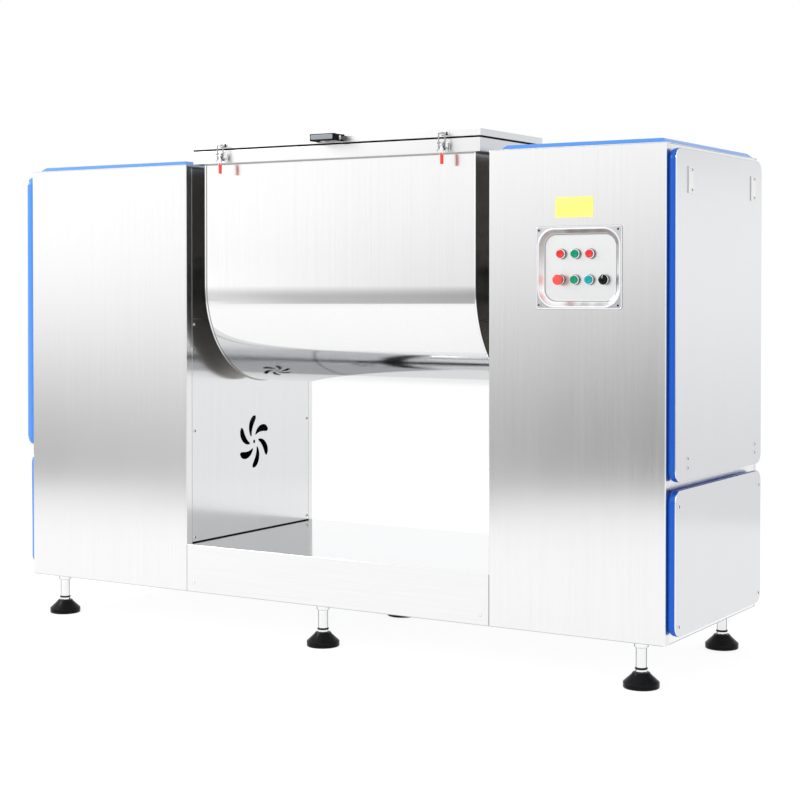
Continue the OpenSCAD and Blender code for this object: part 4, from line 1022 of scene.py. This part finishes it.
def neckOf(node, shape):
    # The start of a profile: a stem, then a step to the neck
    back, radius, length = roundControl(node)
    stem, neck = shape["stem"], shape["neck"]
    step = shoulder(node, back, neck - 0.5, neck + 0.5)
    return back, radius, length, [(0, 0), (stem, 0), (stem, step), (neck, step)]


def makeStopButton(shape):
    back, head, length, start = neckOf("stop_button", shape)
    profile = [*start, (shape["neck"], length - 12.5), (9.6, length - 10.4), (12.4, length - 10),
               (head - 0.9, length - 9.6), (head, length - 8.6), (head, length - 5.2),
               (head * 0.965, length - 3.2), (head * 0.86, length - 1.4), (head * 0.66, length - 0.4),
               (head * 0.4, length), (0, length)]
    work = bmesh.new()
    revolved(work, profile, back, outward, 64)
    addTurned("stopButton", work, "stopRed", "stop_button_part", ["stop_button"])


def makeKnob(shape):
    back, outer, length, start = neckOf("selector_knob", shape)
    skirt = outer * shape["knobShare"]
    seat = length - shape["knobHigh"]
    dome = [(skirt * share, seat + rise) for share, rise in shape["dome"]]
    profile = [(shape["neck"], seat), (skirt - 0.6, seat), (skirt, seat + 0.6), (skirt, seat + 2.6)]
    work = bmesh.new()
    revolved(work, start + profile + dome, (0, 0, 0), steps=shape["flutes"] * 4)
    for vert in work.verts:
        if 0.3 < vert.co.z * 1000 - seat < 6 and vert.co.xy.length * 1000 > skirt * 0.78:
            turn = math.atan2(vert.co.y, vert.co.x) * shape["flutes"]
            vert.co.xy *= 1 - shape["fluteShare"] * (1 + math.cos(turn)) / 2
    bmesh.ops.transform(work, verts=work.verts, matrix=Matrix.Translation(back) @ turnedTo(outward))
    addTurned("selectorKnob", work, "knob", "selector_knob_part", ["selector_knob"], 45)
    ring = bmesh.new()
    revolved(ring, [(skirt - 1, seat), (outer - 0.6, seat), (outer, seat + 0.6), (outer, seat + 1.6),
                    (outer - 0.8, seat + 2.4), (skirt + 0.6, seat + 2.4), (skirt - 1, seat + 1),
                    (skirt - 1, seat)], back, outward)
    addTurned("knobRing", ring, "bright", "selector_knob_part", smooth=40)
    makePointerHighlight(back, dome[1:-1], shape["pointer"] / 2000)


def makePointerHighlight(back, dome, half):
    # A white pointer strip over the knob's dome, which also serves as a painted highlight on the dome
    work = bmesh.new()
    strip = []
    for radius, height in dome:
        y, z = back.y - (height + 0.2) / 1000, back.z + (radius + 0.4) / 1000
        strip.append([work.verts.new((back.x + side * half, y, z)) for side in (-1, 1)])
    for first, second in zip(strip, strip[1:]):
        work.faces.new((first[0], first[1], second[1], second[0]))
    bmesh.ops.solidify(work, geom=work.faces[:], thickness=-0.0006)
    closeUp(work)
    addPiece("knobPointerHighlight", work, "seal", "selector_knob_part")


makeButtons(controlShape)
makeBezels(controlShape)
makeStopButton(controlShape)
makeKnob(controlShape)
print("controls done")


# Toggle clamps: steel levers with red grips, and wire bails

clampShape = {
    "pinDown": 0.0055,  # the lever's pin, from its upper end
    "pinIn": 0.0045,  # the plate's screws, from its corners
    "lever": 0.007,
    "leverBelow": 0.006,  # how far the lever reaches into the grip
    "leverRound": 0.0007,
    "grip": 0.009,
    "gripHigh": 0.034,
    "gripRound": 0.0042,
    "gripEnd": 0.31,  # round of its lower end, share of the width
    "cheekGap": 0.0003,
    "cheekSheet": 0.0025,
    "slotApart": 0.0075,
    "slotWide": 0.0032,
    "slotHigh": 0.011,
    "slotRise": 0.001,
    "slotDepth": (0.0044, 0.0028),  # front and rear, before the hook's rear face
    # in millimetres
    "pinRadius": 5.5,
    "cheek": [(0, 0), (8.9, 0), (9.5, 0.6), (9.5, 1.9), (8.9, 2.5), (0, 2.5)],
    "rivet": [(0, 0), (4.8, 0), (4.8, 0.4), (3.84, 1.1), (1.92, 1.5), (0, 1.6)],
    "springEnd": [(0, 0), (4.2, 0), (4.2, 1.4), (3, 2.6), (0, 2.6)],
    "springArm": [(0, 0), (1.8, 0), (1.8, 12), (1, 13), (0, 13)],
    "screw": [(0, 0), (2.3, 0), (2.1, 1.4), (0, 1.8)],
}


def leverOf(side, shape):
    # The box of a clamp's lever, and the middle of its pin
    low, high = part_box(side + "_clamp_lever")
    return low, high, midway(low, high, 2, high.z - shape["pinDown"])


def makeClamp(side, shape):
    low, high, pin = leverOf(side, shape)
    width = (high.x - low.x) * 1000
    gripTop = low.z + shape["gripHigh"]
    steel, half = bmesh.new(), shape["lever"] / 2
    block(steel, (low.x, pin.y - half, gripTop - shape["leverBelow"]), (high.x, pin.y + half, pin.z))
    bevelEdges(steel, shape["leverRound"])
    r = shape["pinRadius"]
    revolved(steel, [(0, 0), (r - 0.5, 0), (r, 0.5), (r, width - 0.5), (r - 0.5, width), (0, width)],
             (low.x, pin.y, pin.z), (1, 0, 0), 32)
    closeUp(steel)
    addPiece(side + "ClampLever", steel, "bright", side + "_lever", [side + "_clamp_lever"])
    grip, half = bmesh.new(), shape["grip"] / 2
    block(grip, (low.x, pin.y - half, low.z), (high.x, pin.y + half, gripTop))
    rounded(grip, [edge for edge in grip.edges if runsAlong(edge, 2)], shape["gripRound"])
    bottom = [edge for edge in grip.edges if all(vert.co.z < low.z + 0.0001 for vert in edge.verts)]
    rounded(grip, bottom, (high.x - low.x) * shape["gripEnd"])
    addPiece(side + "ClampGrip", grip, "vinyl", side + "_lever", smooth=50)
    bail = side + "_clamp_bail"
    wire = softened(bail, 0.0001, 1, 80)
    addPiece(pieceName(bail), wire, "bail", side + "_bail", [bail], 60, False)


def makeClampBases(shape):
    # A back plate and two round cheeks with rivet heads on the lever's pin
    work, springs, cheeks = softened("clamp_bases", 0.0006), bmesh.new(), bmesh.new()
    for side in ("left", "right"):
        low, high, pin = leverOf(side, shape)
        inner = (high.x - low.x) / 2 + shape["cheekGap"]
        outer = inner + shape["cheekSheet"]
        for out in (-1, 1):
            way = Vector((out, 0, 0))
            revolved(cheeks, shape["cheek"], pin + way * inner, way, 40)
            revolved(work, shape["rivet"], pin + way * outer, way, 24)
            revolved(springs, shape["springEnd"], pin + way * outer, way, 24)
        revolved(springs, shape["springArm"], pin + Vector((outer + 0.001, 0, -0.004)), (0.25, -0.1, -1), 12)
    addTurned("clampCheeks", cheeks, "bail", "trough", smooth=40)
    addTurned("clampSprings", springs, "gasket", "trough")
    closeUp(work)
    addPiece("clampBases", work, "bright", "trough", ["clamp_bases"])


def makeKeeperSlotShades(shape):
    # Dark blocks in the hooks on the lid: painted shade of their slots
    work, half = bmesh.new(), shape["slotWide"] / 2
    front, rear = shape["slotDepth"]
    for low, high in solidBoxes("clamp_keepers"):
        bottom = low.z + shape["slotRise"]
        for out in (-1, 1):
            x = (low.x + high.x) / 2 + out * shape["slotApart"]
            block(work, (x - half, high.y - front, bottom),
                  (x + half, high.y - rear, bottom + shape["slotHigh"]))
    bevelEdges(work, 0.0004, 1)
    addPiece("keeperSlotShades", work, "gasket", "lid")


def makeClampPins(shape):
    # The screws at the corners of the back plates
    work, inset = bmesh.new(), shape["pinIn"]
    for low, high in solidBoxes("clamp_bases"):
        for x in (low.x + inset, high.x - inset):
            for z in (low.z + inset, high.z - inset):
                revolved(work, shape["screw"], (x, low.y, z), outward, 16)
    addTurned("clampPins", work, "bail", "trough")


makeClampBases(clampShape)
makeKeeperSlotShades(clampShape)
makeClampPins(clampShape)
for clampSide in ("left", "right"):
    makeClamp(clampSide, clampShape)
print("clamps done")


# Agitator: ribbons, shaft and arms with their edges softened

agitatorWork = {
    # node: (edge radius, least angle of the edges)
    "agitator_ribbons": (0.0004, 40),
    "agitator_shaft": (0.0008, 50),
    "agitator_arms": (0.0008, 50),
}


def makeAgitator():
    for node, (radius, least) in agitatorWork.items():
        addPiece(pieceName(node), softened(node, radius, 1, least), "ribbonSteel", "agitator",
                 [node], 30, False)


makeAgitator()
print("agitator done")

dress("frameSteel", "machine_frame")
dress("inner", "floor_pans")
dress("cast", "trunnion_bearings", "drive_coupling")
dress("drive", "drive_reducer", "drive_motor", "tilt_reducer", "tilt_motor")
dress("boxPaintAndShadow", "control_box")
dress("black", "cable_gland")
dress("gear", "trunnions", "shaft_bearings", "tilt_gear", "tilt_pinion")
dress("seal", "shaft_seals")


# Studio: pale glowing floor and a soft sky, white above and duller towards the horizon

studioSetup = {
    "turn": 23,  # the floor lies square to a line this many degrees to the left of the front
    "front": 4.58,
    "rear": 3.7,
    "half": 6.5,
    "sunk": 0.0005,  # below the feet
    "notch": ((-0.47, 38.3), (0.595, 28.75)),  # x and degrees left of the front of the notch's sides
    "notchY": -0.35,
    "notchFrom": 3.42,
    "fadeTo": 2.8,  # the floor is duller from here to its front edge
    "paleFrom": -1.2,  # from here to the rear the glow eases over
    "paleTo": 0.6,
    "floorColour": (0.20, 0.20, 0.20),
    "edgeGlow": (0.77, 0.77, 0.77),
    "frontGlow": (0.90, 0.90, 0.90),
    "rearGlow": (0.84, 0.84, 0.845),
    "brightSide": 38,  # degrees to the left of the front, where the large soft box hangs
    # how far below level the sight line meets the dull band, against the sideways distance
    "bandFrom": ((-0.30, 0.114), (-0.167, 0.114), (-0.154, 0.19), (0.0, 0.19), (0.012, 0.114), (0.30, 0.114)),
    # sideways distance from the bright side (sine) against the dull level, the band's end, the white level
    "dull": ((-0.48, 0.88), (-0.40, 0.22), (-0.30, 0.05), (-0.255, 0.08), (-0.215, 0.22), (-0.182, 0.44),
             (-0.10, 0.55), (-0.03, 0.63), (0.0175, 0.97), (0.054, 0.45), (0.09, 0.34), (0.30, 0.34)),
    "bandTo": ((-0.48, 0.06), (-0.38, 0.16), (-0.30, 0.16), (-0.255, 0.125), (-0.215, 0.083), (-0.18, 0.067),
               (-0.167, 0.067), (-0.154, 0.115), (-0.10, 0.093), (-0.05, 0.073), (0.0, 0.055), (0.012, 0.006),
               (0.0175, 0.0), (0.056, 0.002), (0.09, 0.010), (0.30, 0.05)),
    "white": ((-0.30, 1.18), (-0.255, 1.21), (-0.182, 1.30), (-0.165, 1.14), (-0.139, 1.14), (-0.08, 1.20),
              (-0.04, 1.27), (0.01, 1.28), (0.03, 1.34), (0.30, 1.34)),
    "rearDull": 0.87,
    "rearTo": 0.02,
    "rearWhite": 1.09,
    "rightLift": 0.5,  # how much less dull it is further to the right rear
    "ceiling": 0.70,  # level above the right rear
    "ceilingFrom": 0.055,
    "ceilingTo": 0.11,
    "key": {"power": 65, "size": 1.3, "far": 4.2, "side": 56, "rise": 32},
}


def aim(left, up=0):
    # Direction by the degrees to the left of the front and above level
    side, rise = math.radians(left), math.radians(up)
    return Vector((-math.sin(side) * math.cos(rise), -math.cos(side) * math.cos(rise), math.sin(rise)))


def makeFloor(setup):
    turn = Matrix.Rotation(-math.radians(setup["turn"]), 4, "Z")
    ahead = aim(setup["turn"])
    half, front, rear = setup["half"], setup["front"], setup["rear"]
    outline = [turn @ Vector(corner) for corner in ((-half, rear, 0), (-half, -front, 0))]
    for number, (x, degrees) in enumerate(setup["notch"]):
        start = Vector((x, setup["notchY"], 0))
        way = aim(degrees)
        far = start + way * ((front - start.dot(ahead)) / way.dot(ahead))
        near = start + way * setup["notchFrom"]
        outline += [far, near] if number == 0 else [near, far]
    outline += [turn @ Vector(corner) for corner in ((half, -front, 0), (half, rear, 0))]
    work = bmesh.new()
    work.faces.new([work.verts.new(corner - Vector((0, 0, setup["sunk"]))) for corner in outline])
    bmesh.ops.recalc_face_normals(work, faces=work.faces)
    if work.faces[:][0].normal.z < 0:
        bmesh.ops.reverse_faces(work, faces=work.faces)
    made = Finish("paleFloor")
    grain = made.noise(40, 2, 0.5)
    y = made.spot(1)
    forward = made.spot(0) * ahead.x + y * ahead.y
    fade = made.node("MapRange", None, {"Value": forward, "From Min": setup["fadeTo"], "From Max": front})
    rearward = made.eased(y, setup["paleFrom"], setup["paleTo"])
    glow = made.mixed(fade, made.mixed(rearward, setup["frontGlow"], setup["rearGlow"]), setup["edgeGlow"])
    made.shade(colour=made.mixed(grain, dimmed(setup["floorColour"], 0.97), setup["floorColour"]),
               rough=grain * 0.05 + 0.7, metal=0.0, specular=0.0, glow=glow)
    made.shader.inputs["Emission Strength"].default_value = 1.0
    floor = linked("floor", work, made)


def graph(sky, value, pairs, top):
    # A curve through (value, height) pairs, from a ramp over -0.5 to 0.5
    stops = tuple((x + 0.5, (y / top,) * 3) for x, y in pairs)
    return sky.ramp(value + 0.5, *stops) * top


def makeSky(setup):
    world = bpy.data.worlds.new("studioSky")
    bpy.context.scene.world = world
    world.use_nodes = True
    tree = world.node_tree
    sky = Finish("sky", tree)
    way = sky.node("TexCoord", out="Generated")
    x, y, z = (sky.node("SeparateXYZ", None, {0: way}, i) for i in range(3))
    flat = (x * x + y * y).clip(0.0001, 1) ** 0.5
    side = math.radians(setup["brightSide"])
    off = (y * math.sin(side) - x * math.cos(side)) / flat
    rear = sky.eased(y, -0.3, 0.3)
    front = 1 - rear
    right = ((x / flat - 0.36) * setup["rightLift"]).clip(0, 0.12)
    dull = graph(sky, off, setup["dull"], 1.0) * front + rear * (right + setup["rearDull"])
    bandTo = graph(sky, off, setup["bandTo"], 0.4) * front + rear * setup["rearTo"]
    white = graph(sky, off, setup["white"], 1.4) * front + rear * setup["rearWhite"]
    start = graph(sky, off, setup["bandFrom"], 0.4) * -1
    share = ((z / flat - start) / (bandTo - start)).clip()
    share = share * share * (3 - share * 2)
    level = dull + (white - dull) * share
    rise = ((z / flat - setup["ceilingFrom"]) / (setup["ceilingTo"] - setup["ceilingFrom"])).clip()
    overhead = rise * ((x / flat - 0.2) * 6).clip() * rear
    level = level + (setup["ceiling"] - level) * overhead
    seen = sky.node("LightPath", out="Is Camera Ray")
    ground = tree.nodes["Background"]
    feed(tree, ground.inputs["Strength"], level * (1 - seen) + seen)
    ground.inputs["Color"].default_value = (1, 1, 1, 1)


def makeKey(setup):
    # A small soft light from the left that gives the round parts their highlights
    way = aim(setup["side"], setup["rise"])
    data = bpy.data.lights.new("keyLight", "AREA")
    data.energy = setup["power"]
    data.size = setup["size"]
    light = bpy.data.objects.new("keyLight", data)
    light.location = Vector((0, -0.4, 0.9)) + way * setup["far"]
    light.rotation_euler = way.to_track_quat("Z", "Y").to_euler()
    bpy.context.scene.collection.objects.link(light)


makeFloor(studioSetup)
makeSky(studioSetup)
makeKey(studioSetup["key"])
bpy.context.scene.view_settings.view_transform = "Standard"
print("studio done")
